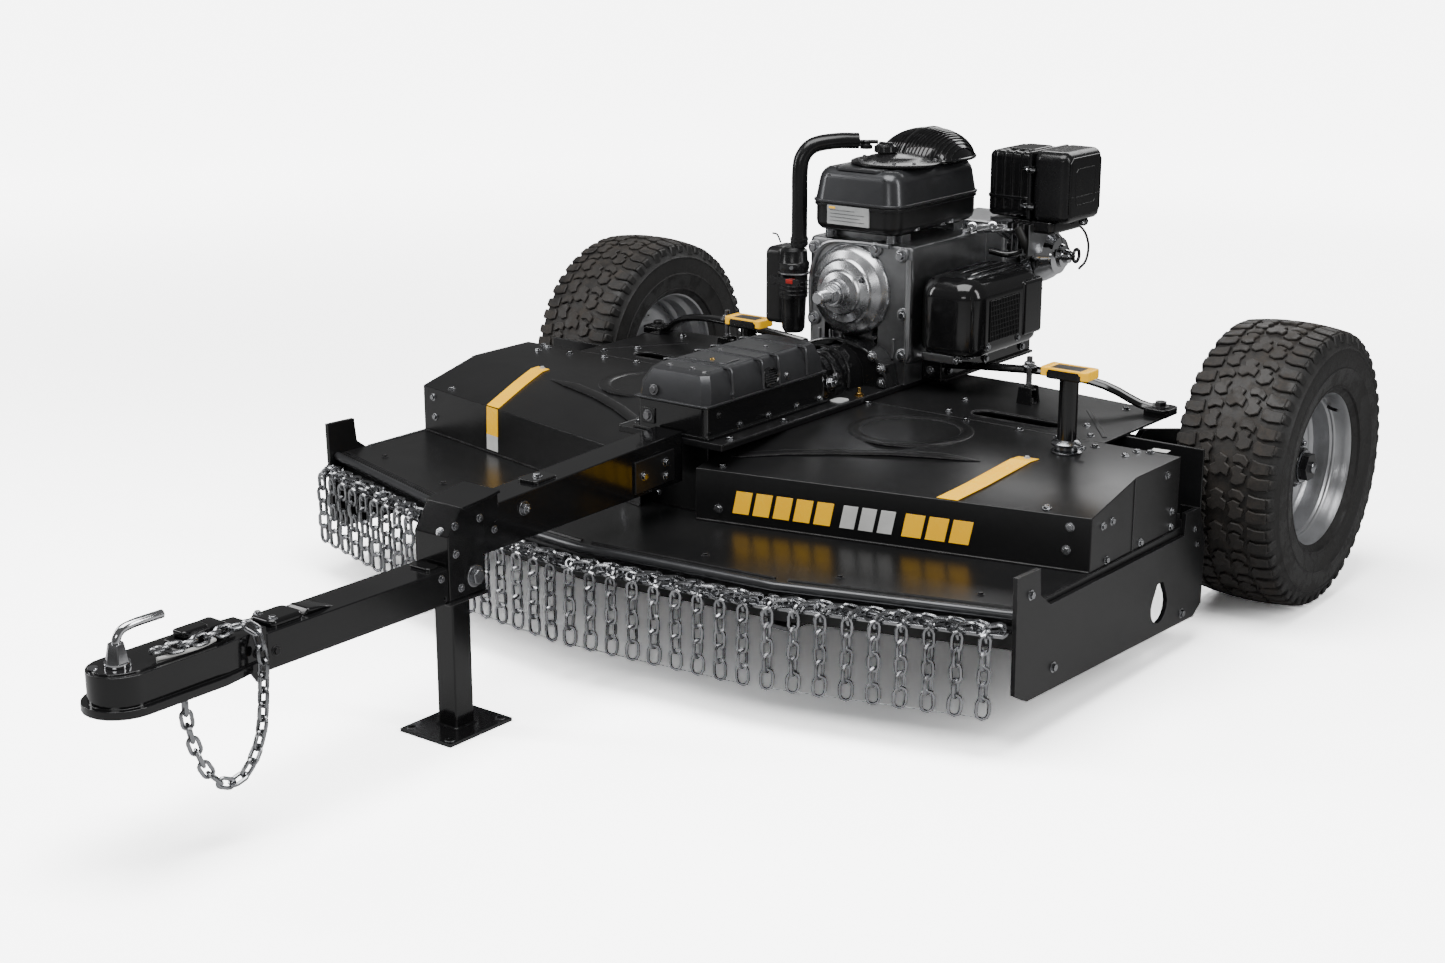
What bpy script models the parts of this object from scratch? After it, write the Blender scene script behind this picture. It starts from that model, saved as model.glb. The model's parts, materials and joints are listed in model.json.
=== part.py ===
"""Tow-behind brush mower: a wide cutter deck on two all-terrain wheels, driven by its own engine.

Metres, +Z up, ground at z = 0. The drawbar points along -Y and the axle runs along X.
Lengths are drawn from a line over the axle, 0.300 behind the deck's rear wall, and every
piece hangs on one empty, which puts the middle of the machine over the world's origin.
Names with right_ are on the +X side, the right of someone who faces the drawbar.
"""
from math import atan2, cos, pi, radians, sin, sqrt

import bmesh
import bpy
from mathutils import Matrix, Vector

GAP = 0.0003                 # air left between two pieces that touch

# Cutter deck, in plan
DECK_HALF = 0.750            # inner face of a side plate
SIDE_PLATE = 0.008
REAR_Y = -0.300              # back of the deck's rear wall
FRONT_BOW = 0.150            # how far the lip bows forward of its ends
LIP_RADIUS = 0.008
PAN_SETBACK = 0.011          # pan's front edge behind the lip's centre line
SHEET = 0.005
SKIRT_THICK = 0.004
TAB_WIDTH = 0.026            # folded tab at the rear of a side plate

# Rotors, which set the deck's depth
BLADE_SIDE_CLEAR = 0.075     # blade tip to the side plate
BLADE_MIDDLE_CLEAR = 0.015   # blade tip to the middle line
BLADE_REAR_CLEAR = 0.040     # blade tip to the rear wall
BLADE_TIP = (DECK_HALF - BLADE_SIDE_CLEAR - BLADE_MIDDLE_CLEAR) / 2
ROTOR_X = BLADE_TIP + BLADE_MIDDLE_CLEAR
ROTOR_Y = REAR_Y - BLADE_REAR_CLEAR - BLADE_TIP
FRONT_END_Y = ROTOR_Y - BLADE_TIP + 0.070     # lip at the side plates
FRONT_MID_Y = FRONT_END_Y - FRONT_BOW
BOSS_RADIUS = 0.055
BEARING_RADIUS = 0.0260
DISC_RADIUS = 0.120
BLADE_PIN_AT = 0.095
BLADE_PIN_RADIUS = 0.010
BLADE_WIDTH = 0.056
BLADE_THICK = 0.008
BOLT_HEAD = 0.008
RUNNING = 0.0006             # radial room round a pin that turns
PULLEY_RADIUS = 0.060
GROOVE_RADIUS = 0.048
BELT_THICK = 0.009

# Deck heights, from the pan's top
PAN_TOP = 0.225
SIDE_FRONT_LOW = 0.076
SIDE_REAR_LOW = 0.052
SKIRT_LOW = PAN_TOP - 0.065
REAR_LOW = PAN_TOP - 0.105
DISC_Z = (PAN_TOP - 0.087, PAN_TOP - 0.079)
BELT_Z = (PAN_TOP + 0.041, PAN_TOP + 0.053)
COVER_FRONT_TOP = PAN_TOP + 0.092
COVER_CREST = PAN_TOP + 0.127
CROSS_Z = (COVER_CREST - 0.065, COVER_CREST - 0.0051)
CROSS_Y = (REAR_Y + GAP, REAR_Y + 0.070)
CROSS_HALF = 0.560
LUG_X = 0.400                # yoke's lugs on the cross tube
LUG_THICK = 0.016
PLATE_Z = (CROSS_Z[1] + GAP, CROSS_Z[1] + GAP + SHEET)
PLATE_HALF = 0.600

# Belt covers
COVER_WALL = 0.003
COVER_INNER_X = 0.062
COVER_REAR_Y = REAR_Y - 0.087
COVER_END_FRONT_Y = ROTOR_Y - 0.026
COVER_MID_FRONT_Y = ROTOR_Y - 0.175
COVER_END_CREST_Y = ROTOR_Y + 0.123
COVER_MID_CREST_Y = ROTOR_Y + 0.010
CENTRE_FRONT_Y = ROTOR_Y - 0.140

# Chain curtain
RAIL_Z = (PAN_TOP - 0.030, PAN_TOP - 0.024)
RAIL_FRONT = 0.0415          # ahead of the lip's centre line
CURTAIN_AHEAD = 0.052
CURTAIN_THICK = 0.020
CURTAIN_TOP = RAIL_Z[0] - 0.0005
CURTAIN_LOW = SIDE_FRONT_LOW - 0.010
CURTAIN_END_GAP = 0.012

# Wheels and axle
WHEEL_FACETS = 28            # shared by tyre and rim, so that their flats line up
TYRE_RADIUS = 0.260
TYRE_WIDTH = 0.206
TYRE_CLEAR = 0.040           # tyre to the rear wall
WHEEL_Y = REAR_Y + TYRE_CLEAR + TYRE_RADIUS
WHEEL_X = 0.757
BEAD_RADIUS = 0.1395
FLANGE_RADIUS = 0.146
RIM_WIDTH = 0.170
AXLE_RADIUS = 0.0200
HUB_RADIUS = 0.034
HUB_HALF = 0.048
NUT_RADIUS = 0.026
PIVOT_Y = CROSS_Y[1] + 0.035
PIVOT_Z = CROSS_Z[0] + 0.013
PIVOT_RADIUS = 0.020
ARM_X = 0.580
ARM_THICK = 0.012
ARM_HALF_WIDTH = 0.034

# Drawbar
POST_Y = (FRONT_MID_Y - 0.340, FRONT_MID_Y - 0.260)
POST_HALF = 0.036
POST_LOW = 0.226
POST_TOP = 0.372
POST_WALL = 0.004
TONGUE_HALF = 0.035
TONGUE_Z = (0.224, 0.280)
TONGUE_END_Y = POST_Y[0] - 0.360
TUBE_WALL = 0.004
BEAM_HALF = 0.030
BEAM_FRONT_Z = (0.280, 0.355)
COUPLER_TIP_Y = TONGUE_END_Y - 0.277
COUPLER_HALF = 0.055
COUPLER_RISE = 0.010
SOCKET_WALL = 0.010
LOCK_PIN_RADIUS = 0.008
LATCH_HINGE_RADIUS = 0.010
LATCH_HALF = 0.018
LEG_HALF = 0.020
LEG_TOP = 0.250
FOOT_HALF = (0.055, 0.070)
FOOT_THICK = 0.006
FOOT_HOLE_IN = 0.013         # hole centres in from the foot's edges
FOOT_HOLE_RADIUS = 0.006

# Drive platform, covers and drive line
GEARBOX_Y = ROTOR_Y - 0.075
DRIVE_COVER_HALF = 0.078
DRIVE_COVER_Y = (GEARBOX_Y - 0.090, -0.480)
PLATFORM_HALF = 0.115
PLATFORM_Z = (PLATE_Z[1] + GAP, PLATE_Z[1] + GAP + 0.012)
PLATFORM_Y = (DRIVE_COVER_Y[0] - 0.0047, 0.130)
BEAM_REAR_Z = (PLATFORM_Z[0] - 0.0655, PLATFORM_Z[1] + 0.0115)
SPINDLE_HOLE_RADIUS = 0.020  # in the platform and the centre cover
GEAR_SPACING = 0.110         # lower drive shaft to crankshaft
TOOTH_HALF_DEPTH = 0.0040
DRIVE_Z = PLATFORM_Z[1] + GEAR_SPACING / 2 + TOOTH_HALF_DEPTH + 0.0015
DRIVE_SHAFT_RADIUS = 0.012
DRIVE_PORT_RADIUS = 0.024
DRIVE_COVER_LIP = DRIVE_Z - 0.005
DRIVE_COVER_CORNER = 0.012
HOOD_TOP = DRIVE_COVER_LIP + 0.058
NECK_HALF = 0.062
NECK_TOP = DRIVE_Z + 0.021
MITRE_TEETH = 16
MITRE_NEAR = 0.022
MITRE_FAR = 0.040
SPUR_TEETH = 24
BACKLASH = 0.0008

# Engine
CASE_X = (-0.100, 0.135)
CASE_Y = (-0.285, 0.060)
SPUR_Y = (CASE_Y[0] + 0.007, CASE_Y[0] + 0.035)
BASE_X = (-0.118, 0.165)
BASE_Y = (SPUR_Y[1] + 0.030, 0.118)
BASE_Z = (PLATFORM_Z[1] + GAP, PLATFORM_Z[1] + GAP + 0.0402)
CRANK_Z = DRIVE_Z + GEAR_SPACING
CRANK_RADIUS = 0.0125
CRANK_TIP_Y = CASE_Y[0] - 0.115
CASE_Z = (BASE_Z[1] + GAP, CRANK_Z + 0.095)
TANK_X = (-0.087, 0.110)
TANK_Y = (-0.305, 0.000)
TANK_Z = (CASE_Z[1] + 0.015, CASE_Z[1] + 0.135)
FILLER_AT = (0.032, -0.188)
FILLER_RISE = 0.022
CAP_AT = (FILLER_AT[0] - 0.018, FILLER_AT[1] - 0.010)
SHROUD_X = (CASE_X[1] + GAP, 0.270)
SHROUD_Y = (-0.280, -0.020)
SHROUD_Z = (CRANK_Z - 0.105, CRANK_Z + 0.042)
HEAD_X = (CASE_X[0] + 0.120, 0.178)
HEAD_Y = (SHROUD_Y[1] + GAP, 0.135)
HEAD_Z = (CRANK_Z - 0.055, CASE_Z[1] + 0.014)
FILTER_X = (0.120, 0.300)
FILTER_Y = (-0.004, 0.140)
FILTER_Z = (HEAD_Z[1] + 0.006, HEAD_Z[1] + 0.143)
MUFFLER_AT = (0.080, CRANK_Z + 0.040)         # y and z
CANISTER_AT = (-0.146, -0.290)
CANISTER_RADIUS = 0.042
CANISTER_Z = (CRANK_Z - 0.060, CRANK_Z + 0.070)
BREATHER_RADIUS = 0.0155
LEVER_DROP = 0.060           # throttle lever below the canister's top

# Latch posts on the covers and the rear plate: x, y and the post's height
LATCHES = (("left", -0.262, -0.262, 0.0725), ("right", 0.577, -0.478, 0.1275))
LATCH_POST_RADIUS = 0.0165
LATCH_ROD_RADIUS = 0.007
HANDLE_HALF = (0.045, 0.024)
HANDLE_THICK = 0.020

FRONT_Y = COUPLER_TIP_Y
REAR_END_Y = WHEEL_Y + TYRE_RADIUS
AXLE_Y = -(FRONT_Y + REAR_END_Y) / 2


# ---------------------------------------------------------------- tools

def clear_scene():
    """Remove every object, so that the script can run again in the same file."""
    for item in list(bpy.data.objects):
        bpy.data.objects.remove(item)


def finish(name, colour, roughness, metallic):
    """A plain material."""
    material = bpy.data.materials.new(name)
    material.use_nodes = True
    shader = material.node_tree.nodes["Principled BSDF"]
    shader.inputs["Base Color"].default_value = (*colour, 1.0)
    shader.inputs["Roughness"].default_value = roughness
    shader.inputs["Metallic"].default_value = metallic
    return material


def piece(name, mesh, material, machine, origin=(0, 0, 0), smooth=False):
    """Make an object of a bmesh drawn from the axle line, with its origin on the given point."""
    bmesh.ops.remove_doubles(mesh, verts=mesh.verts, dist=0.00001)
    bmesh.ops.translate(mesh, verts=mesh.verts, vec=-Vector(origin))
    bmesh.ops.recalc_face_normals(mesh, faces=mesh.faces)
    data = bpy.data.meshes.new(name)
    mesh.to_mesh(data)
    mesh.free()
    if smooth:
        data.shade_smooth()
        data.set_sharp_from_angle(angle=radians(35))
    if material:
        data.materials.append(material)
    item = bpy.data.objects.new(name, data)
    item.parent = machine
    item.location = origin
    bpy.context.scene.collection.objects.link(item)
    return item


def combine(target, mesh, machine, operation):
    """Join a shape to a piece, or cut it out of the piece, with a Boolean."""
    tool = piece(f"{target.name}_{operation.lower()}_{len(target.modifiers)}", mesh, None, machine)
    tool.hide_render = True
    tool.display_type = "WIRE"
    boolean = target.modifiers.new(operation.title(), "BOOLEAN")
    boolean.operation = operation
    boolean.object = tool


def join(target, mesh, machine):
    """Weld a shape to a piece."""
    combine(target, mesh, machine, "UNION")


def cut(target, mesh, machine):
    """Cut a shape out of a piece."""
    combine(target, mesh, machine, "DIFFERENCE")


def block(x, y, z, bevel=0.0, upright_only=False, segments=2):
    """A box between two values on each axis, with its edges rounded off."""
    mesh = bmesh.new()
    centre = Vector((sum(x) / 2, sum(y) / 2, sum(z) / 2))
    size = (x[1] - x[0], y[1] - y[0], z[1] - z[0])
    place = Matrix.Translation(centre) @ Matrix.Diagonal((*size, 1.0))
    bmesh.ops.create_cube(mesh, size=1.0, matrix=place)
    if bevel:
        edges = [e for e in mesh.edges
                 if not upright_only or abs(e.verts[0].co.z - e.verts[1].co.z) > 1e-6]
        bmesh.ops.bevel(mesh, geom=edges, offset=bevel, segments=segments, profile=0.5,
                        affect="EDGES", material=-1, clamp_overlap=True)
    return mesh


def prism(outline, axis, low, high):
    """Extrude a flat outline along an axis: (y, z) for X, (x, z) for Y and (x, y) for Z."""
    turn = {"X": lambda a, b: (low, a, b), "Y": lambda a, b: (a, low, b),
            "Z": lambda a, b: (a, b, low)}[axis]
    along = Vector({"X": (1, 0, 0), "Y": (0, 1, 0), "Z": (0, 0, 1)}[axis]) * (high - low)
    mesh = bmesh.new()
    face = mesh.faces.new([mesh.verts.new(turn(*point)) for point in outline])
    top = bmesh.ops.extrude_face_region(mesh, geom=[face])["geom"]
    bmesh.ops.translate(mesh, vec=along, verts=[v for v in top if isinstance(v, bmesh.types.BMVert)])
    return mesh


def loft(rings):
    """Skin closed rings of points, in order, and cap both ends."""
    mesh = bmesh.new()
    loops = []
    for ring in rings:
        verts = [mesh.verts.new(point) for point in ring]
        loops.append([mesh.edges.new((verts[i - 1], verts[i])) for i in range(len(verts))])
    for first, second in zip(loops, loops[1:]):
        bmesh.ops.bridge_loops(mesh, edges=first + second)
    bmesh.ops.contextual_create(mesh, geom=loops[0])
    bmesh.ops.contextual_create(mesh, geom=loops[-1])
    return mesh


def turned(profile, axis, centre, segments=24):
    """Spin a closed profile of (along, radius) points about an axis through centre."""
    lay = {"X": lambda a, r: (a, 0, r), "Y": lambda a, r: (0, a, r),
           "Z": lambda a, r: (r, 0, a)}[axis]
    line = Vector({"X": (1, 0, 0), "Y": (0, 1, 0), "Z": (0, 0, 1)}[axis])
    mesh = bmesh.new()
    verts = [mesh.verts.new(Vector(centre) + Vector(lay(*point))) for point in profile]
    edges = [mesh.edges.new((verts[i], verts[i + 1])) for i in range(len(verts) - 1)]
    if profile[0][1] > 0:
        edges.append(mesh.edges.new((verts[-1], verts[0])))
    bmesh.ops.spin(mesh, geom=verts + edges, cent=centre, axis=line, angle=2 * pi,
                   steps=segments, use_merge=True)
    bmesh.ops.remove_doubles(mesh, verts=mesh.verts, dist=0.00001)
    return mesh


def bar(axis, centre, span, radius, segments=24):
    """A solid round bar along an axis."""
    ends = ((span[0], 0), (span[0], radius), (span[1], radius), (span[1], 0))
    return turned(ends, axis, centre, segments)


def smooth_line(points, steps):
    """Points along a Catmull-Rom curve through the given ones."""
    line = [Vector(p) for p in points]
    line = [2 * line[0] - line[1], *line, 2 * line[-1] - line[-2]]
    result = []
    for i in range(1, len(line) - 2):
        for k in range(steps):
            t = k / steps
            a, b, c, d = line[i - 1:i + 3]
            result.append(0.5 * ((2 * b) + (c - a) * t + (2 * a - 5 * b + 4 * c - d) * t * t
                                 + (3 * b - a - 3 * c + d) * t ** 3))
    return result + [line[-2]]


def swept(path, radius, segments=10, flat=1.0):
    """A round (or flattened) rod along a path of points."""
    path = [Vector(p) for p in path]
    rings = []
    side = None
    for i, point in enumerate(path):
        ahead = (path[min(i + 1, len(path) - 1)] - path[max(i - 1, 0)]).normalized()
        if side is None:
            side = ahead.cross(Vector((0, 0, 1)))
            if side.length < 0.1:
                side = ahead.cross(Vector((0, 1, 0)))
        side = (side - ahead * side.dot(ahead)).normalized()
        up = side.cross(ahead)
        rings.append([point + side * radius * cos(2 * pi * k / segments)
                      + up * radius * flat * sin(2 * pi * k / segments)
                      for k in range(segments)])
    return loft(rings)


def corner_arc(centre, radius, start, end, count):
    """Points on an arc, angles in degrees."""
    return [(centre[0] + radius * cos(radians(start + (end - start) * i / count)),
             centre[1] + radius * sin(radians(start + (end - start) * i / count)))
            for i in range(count + 1)]


def bowed(offset, half=DECK_HALF - GAP):
    """Plan points of a line that follows the pressed front, ahead (-) or behind (+) the lip."""
    across = (-1, -0.5, 0, 0.5, 1)
    return [(s * half, FRONT_END_Y + offset - FRONT_BOW * (1 - s * s)) for s in across]


def bowed_strip(front, rear, low, high, half=DECK_HALF - GAP):
    """A strip that follows the bowed front, between two offsets."""
    return prism(bowed(front, half) + bowed(rear, half)[::-1], "Z", low, high)


# ---------------------------------------------------------------- deck

def deck_pan(machine, paint):
    """Pan with its front skirt, its rear wall and the two spindle bosses."""
    half = DECK_HALF - GAP
    outline = bowed(PAN_SETBACK) + [(half, REAR_Y), (-half, REAR_Y)]
    pan = piece("deck_pan", prism(outline, "Z", PAN_TOP - SHEET, PAN_TOP), paint, machine)
    join(pan, bowed_strip(PAN_SETBACK, PAN_SETBACK + SKIRT_THICK, SKIRT_LOW, PAN_TOP - SHEET / 2),
         machine)
    join(pan, block((-half, half), (REAR_Y - SHEET, REAR_Y), (REAR_LOW, CROSS_Z[1])), machine)
    for side in (-1, 1):
        at = (side * ROTOR_X, ROTOR_Y, 0)
        join(pan, bar("Z", at, (PAN_TOP - 0.040, PAN_TOP + 0.022), BOSS_RADIUS, 28), machine)
        cut(pan, bar("Z", at, (PAN_TOP - 0.060, PAN_TOP + 0.040), BEARING_RADIUS), machine)


def side_plate(name, side, machine, paint):
    """End plate of the deck with upright tabs at the front and rear and a keyhole for a chain."""
    front = FRONT_END_Y - 0.018
    rear = REAR_Y + 0.002
    top = PAN_TOP
    outline = [(front, top + 0.062), (front + 0.068, top + 0.060), (front + 0.073, top + 0.015),
               (front + 0.105, top - 0.008), (rear - 0.083, top - 0.013),
               (rear - 0.080, top + 0.027), (rear - 0.028, top + 0.025), (rear, top - 0.040),
               (rear, SIDE_REAR_LOW + 0.018), (rear - 0.030, SIDE_REAR_LOW),
               (front + 0.042, SIDE_FRONT_LOW), (front + 0.004, SIDE_FRONT_LOW + 0.020)]
    near, far = DECK_HALF + GAP, DECK_HALF + GAP + SIDE_PLATE
    low, high = (near, far) if side > 0 else (-far, -near)
    plate = piece(name, prism(outline, "X", low, high), paint, machine)
    tab = sorted((side * (near - TAB_WIDTH), side * (near + SIDE_PLATE / 2)))
    join(plate, block(tab, (rear - 0.034, rear - 0.029), (top + GAP, top + 0.0255)), machine)
    hole_y = (front + rear) / 2 + 0.160
    hole_z = SIDE_REAR_LOW + 0.056
    keyhole = (corner_arc((hole_y, hole_z), 0.030, 150, 390, 10)
               + [(hole_y + 0.010, hole_z + 0.042), (hole_y - 0.010, hole_z + 0.042)])
    cut(plate, prism(keyhole, "X", low - 0.01, high + 0.01), machine)


def front_bars(machine, paint, zinc):
    """Round rod along the bowed lip and the flat rail that the chains hang on."""
    lip = [(x, y, PAN_TOP - LIP_RADIUS / 2) for x, y in bowed(0.0, DECK_HALF - LIP_RADIUS / 2)]
    piece("front_lip_rod", swept(lip, LIP_RADIUS), paint, machine, smooth=True)
    rail = bowed_strip(-RAIL_FRONT, PAN_SETBACK - GAP, *RAIL_Z)
    piece("curtain_rail", rail, zinc, machine)


def curtain(machine, steel):
    """Four hanging panels of chain, one to each straight of the bowed front."""
    line = bowed(-CURTAIN_AHEAD)
    names = ("curtain_left", "curtain_centre_left", "curtain_centre_right", "curtain_right")
    for name, first, last in zip(names, line, line[1:]):
        first, last = Vector((*first, 0)), Vector((*last, 0))
        along = (last - first).normalized()
        across = Vector((-along.y, along.x, 0)) * CURTAIN_THICK / 2
        first, last = first + along * CURTAIN_END_GAP, last - along * CURTAIN_END_GAP
        plan = [first - across, last - across, last + across, first + across]
        panel = prism([(p.x, p.y) for p in plan], "Z", CURTAIN_LOW, CURTAIN_TOP)
        middle = (first + last) / 2
        origin = (middle.x, middle.y, CURTAIN_TOP - CURTAIN_THICK / 2)
        piece(name, panel, steel, machine, origin)


def cover_section(x, front, crest, inset, low):
    """Outline of a belt cover where it crosses x, drawn in by a wall thickness."""
    slope = (COVER_CREST - COVER_FRONT_TOP) / (crest - front)
    rise = inset * (sqrt(1 + slope * slope) - slope)
    return [(x, front + inset, low), (x, front + inset, COVER_FRONT_TOP - rise),
            (x, crest, COVER_CREST - inset), (x, COVER_REAR_Y - inset, COVER_CREST - inset),
            (x, COVER_REAR_Y - inset, low)]


def belt_covers(machine, paint):
    """Two raised covers, open below and at their inner ends, and the lower one between them."""
    outer = DECK_HALF - 0.004
    low = PAN_TOP + GAP
    for name, side in (("left_belt_cover", -1), ("right_belt_cover", 1)):
        inner_end = (side * COVER_INNER_X, COVER_MID_FRONT_Y, COVER_MID_CREST_Y)
        outer_end = (side * outer, COVER_END_FRONT_Y, COVER_END_CREST_Y)
        cover = piece(name, loft([cover_section(*inner_end, 0, low),
                                  cover_section(*outer_end, 0, low)]), paint, machine)
        beyond = (side * (COVER_INNER_X - 0.02), COVER_MID_FRONT_Y, COVER_MID_CREST_Y)
        stop = (side * (outer - COVER_WALL), COVER_END_FRONT_Y, COVER_END_CREST_Y)
        hollow = loft([cover_section(*beyond, COVER_WALL, low - 0.02),
                       cover_section(*inner_end, COVER_WALL, low - 0.02),
                       cover_section(*stop, COVER_WALL, low - 0.02)])
        cut(cover, hollow, machine)
    half = COVER_INNER_X - GAP
    depth = (CENTRE_FRONT_Y, COVER_REAR_Y)
    centre = piece("centre_cover", block((-half, half), depth, (low, COVER_CREST)),
                   paint, machine)
    cut(centre, block((-half - 0.02, half + 0.02),
                      (CENTRE_FRONT_Y + COVER_WALL, COVER_REAR_Y - COVER_WALL),
                      (low - 0.02, COVER_CREST - COVER_WALL)), machine)
    cut(centre, bar("Z", (0, GEARBOX_Y, 0), (COVER_CREST - 0.01, COVER_CREST + 0.01),
                    SPINDLE_HOLE_RADIUS), machine)


def rear_frame(machine, paint):
    """Rear cross tube with the yoke's lugs, and the plate that lies on it."""
    cross = piece("rear_crossmember", block((-CROSS_HALF, CROSS_HALF), CROSS_Y, CROSS_Z),
                  paint, machine)
    cut(cross, block((-CROSS_HALF - 0.01, CROSS_HALF + 0.01),
                     (CROSS_Y[0] + TUBE_WALL, CROSS_Y[1] - TUBE_WALL),
                     (CROSS_Z[0] + TUBE_WALL, CROSS_Z[1] - TUBE_WALL)), machine)
    for x in (-LUG_X, LUG_X):
        outline = [(CROSS_Y[1] - 0.002, CROSS_Z[0]), (CROSS_Y[1] - 0.002, CROSS_Z[1] - 0.002),
                   (PIVOT_Y + 0.010, PIVOT_Z + 0.036), (PIVOT_Y + 0.034, PIVOT_Z + 0.010),
                   (PIVOT_Y + 0.034, PIVOT_Z - 0.015), (PIVOT_Y + 0.010, PIVOT_Z - 0.034)]
        join(cross, prism(outline, "X", x - LUG_THICK / 2, x + LUG_THICK / 2), machine)
        cut(cross, bar("X", (x, PIVOT_Y, PIVOT_Z), (-LUG_THICK, LUG_THICK),
                       PIVOT_RADIUS + RUNNING), machine)
    reach = PLATE_HALF
    outline = [(-reach, COVER_REAR_Y + GAP), (reach, COVER_REAR_Y + GAP), (reach, -0.120),
               (reach / 2, -0.085), (-reach / 2, -0.085), (-reach, -0.120)]
    plate = piece("rear_deck_plate", prism(outline, "Z", *PLATE_Z), paint, machine)
    near, far, slot_y, radius = 0.330, 0.470, COVER_REAR_Y + 0.052, 0.022
    for first, last in ((-far, -near), (near, far)):
        slot = (corner_arc((first, slot_y), radius, 90, 270, 6)
                + corner_arc((last, slot_y), radius, -90, 90, 6))
        cut(plate, prism(slot, "Z", PLATE_Z[0] - 0.01, PLATE_Z[1] + 0.01), machine)


def braces(machine, paint):
    """Arched flat braces from the engine base out to the rear plate's corners."""
    foot = PLATE_Z[1] + GAP
    points = [(BASE_X[1] + 0.003, -0.200, foot + 0.0435), (0.280, -0.205, foot + 0.0555),
              (0.400, -0.200, foot + 0.0605), (0.490, -0.180, foot + 0.0465),
              (0.550, -0.155, foot + 0.016), (0.590, -0.145, foot + 0.0085)]
    for name, side in (("left_brace", -1), ("right_brace", 1)):
        path = smooth_line([(side * x, y, z) for x, y, z in points], 3)
        brace = piece(name, swept(path, 0.015, 8, 0.5), paint, machine, smooth=True)
        pad = (side * 0.588 - 0.022, side * 0.588 + 0.022)
        join(brace, block(pad, (-0.172, -0.124), (foot, foot + 0.010)), machine)


# ---------------------------------------------------------------- rotors and belt

def blade_disc(machine, steel):
    """Rotor spindles: pulley, shaft and blade disc in one."""
    for name, side in (("left_spindle", -1), ("right_spindle", 1)):
        shaft = BEARING_RADIUS * cos(pi / 24) - GAP
        at = (side * ROTOR_X, ROTOR_Y, 0)
        mid = sum(BELT_Z) / 2
        profile = [(DISC_Z[0], 0), (DISC_Z[0], DISC_RADIUS), (DISC_Z[1], DISC_RADIUS),
                   (DISC_Z[1], shaft), (mid - 0.014, shaft), (mid - 0.014, PULLEY_RADIUS),
                   (mid - 0.010, PULLEY_RADIUS), (mid - 0.0065, GROOVE_RADIUS),
                   (mid + 0.0065, GROOVE_RADIUS), (mid + 0.010, PULLEY_RADIUS),
                   (mid + 0.014, PULLEY_RADIUS), (mid + 0.014, 0.014), (mid + 0.024, 0.014),
                   (mid + 0.024, 0)]
        spindle = piece(name, turned(profile, "Z", at), steel, machine, at)
        for turn in (-1, 1):
            pin = (at[0], ROTOR_Y + turn * BLADE_PIN_AT, 0)
            cut(spindle, bar("Z", pin, (DISC_Z[0] - 0.01, DISC_Z[1] + 0.01),
                             BLADE_PIN_RADIUS + RUNNING), machine)


def blades(machine, steel):
    """Free-swinging blades, each with the bolt that it swings on."""
    top = DISC_Z[0] - GAP
    for side_name, side in (("left", -1), ("right", 1)):
        for end_name, turn in (("front", -1), ("rear", 1)):
            pin = Vector((side * ROTOR_X, ROTOR_Y + turn * BLADE_PIN_AT, 0))
            half = BLADE_WIDTH / 2
            reach = BLADE_TIP - BLADE_PIN_AT
            outline = corner_arc((0, 0), half * 0.75, 180, 360, 6)
            outline += [(half, 0.040), (half, reach - 0.020), (half - 0.012, reach - 0.004),
                        (-half + 0.006, reach - 0.002), (-half, reach - 0.020), (-half, 0.040)]
            outline = [(pin.x + x * turn, pin.y + y * turn) for x, y in outline]
            blade = piece(f"{side_name}_{end_name}_blade",
                          prism(outline, "Z", top - BLADE_THICK, top), steel, machine, pin)
            head = top - BLADE_THICK - BOLT_HEAD
            bolt = [(head, 0), (head, 0.016),
                    (top - 0.002, 0.016), (top - 0.002, BLADE_PIN_RADIUS),
                    (DISC_Z[1] + 0.004, BLADE_PIN_RADIUS), (DISC_Z[1] + 0.004, 0)]
            join(blade, turned(bolt, "Z", pin, 12), machine)


def belt_outline(radius):
    """Round the three pulleys, on straight tangents, at one radius."""
    stops = [Vector((0, GEARBOX_Y)), Vector((ROTOR_X, ROTOR_Y)), Vector((-ROTOR_X, ROTOR_Y))]
    outline = []
    for i, stop in enumerate(stops):
        before, after = stops[i - 1], stops[(i + 1) % 3]
        come, leave = stop - before, after - stop
        start = atan2(-come.x, come.y)
        end = atan2(-leave.x, leave.y)
        while end < start:
            end += 2 * pi
        count = max(2, round((end - start) / radians(18)))
        outline += [(stop.x + radius * cos(start + (end - start) * k / count),
                     stop.y + radius * sin(start + (end - start) * k / count))
                    for k in range(count + 1)]
    return outline


def deck_belt(machine, rubber):
    """Flat section of the belt, a slack fit in its three grooves."""
    inner = GROOVE_RADIUS + GAP
    belt = piece("deck_belt", prism(belt_outline(inner / cos(radians(9)) + BELT_THICK), "Z",
                                    *BELT_Z), rubber, machine)
    cut(belt, prism(belt_outline(inner / cos(radians(9))), "Z", BELT_Z[0] - 0.01,
                    BELT_Z[1] + 0.01), machine)


# ---------------------------------------------------------------- drawbar

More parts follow.
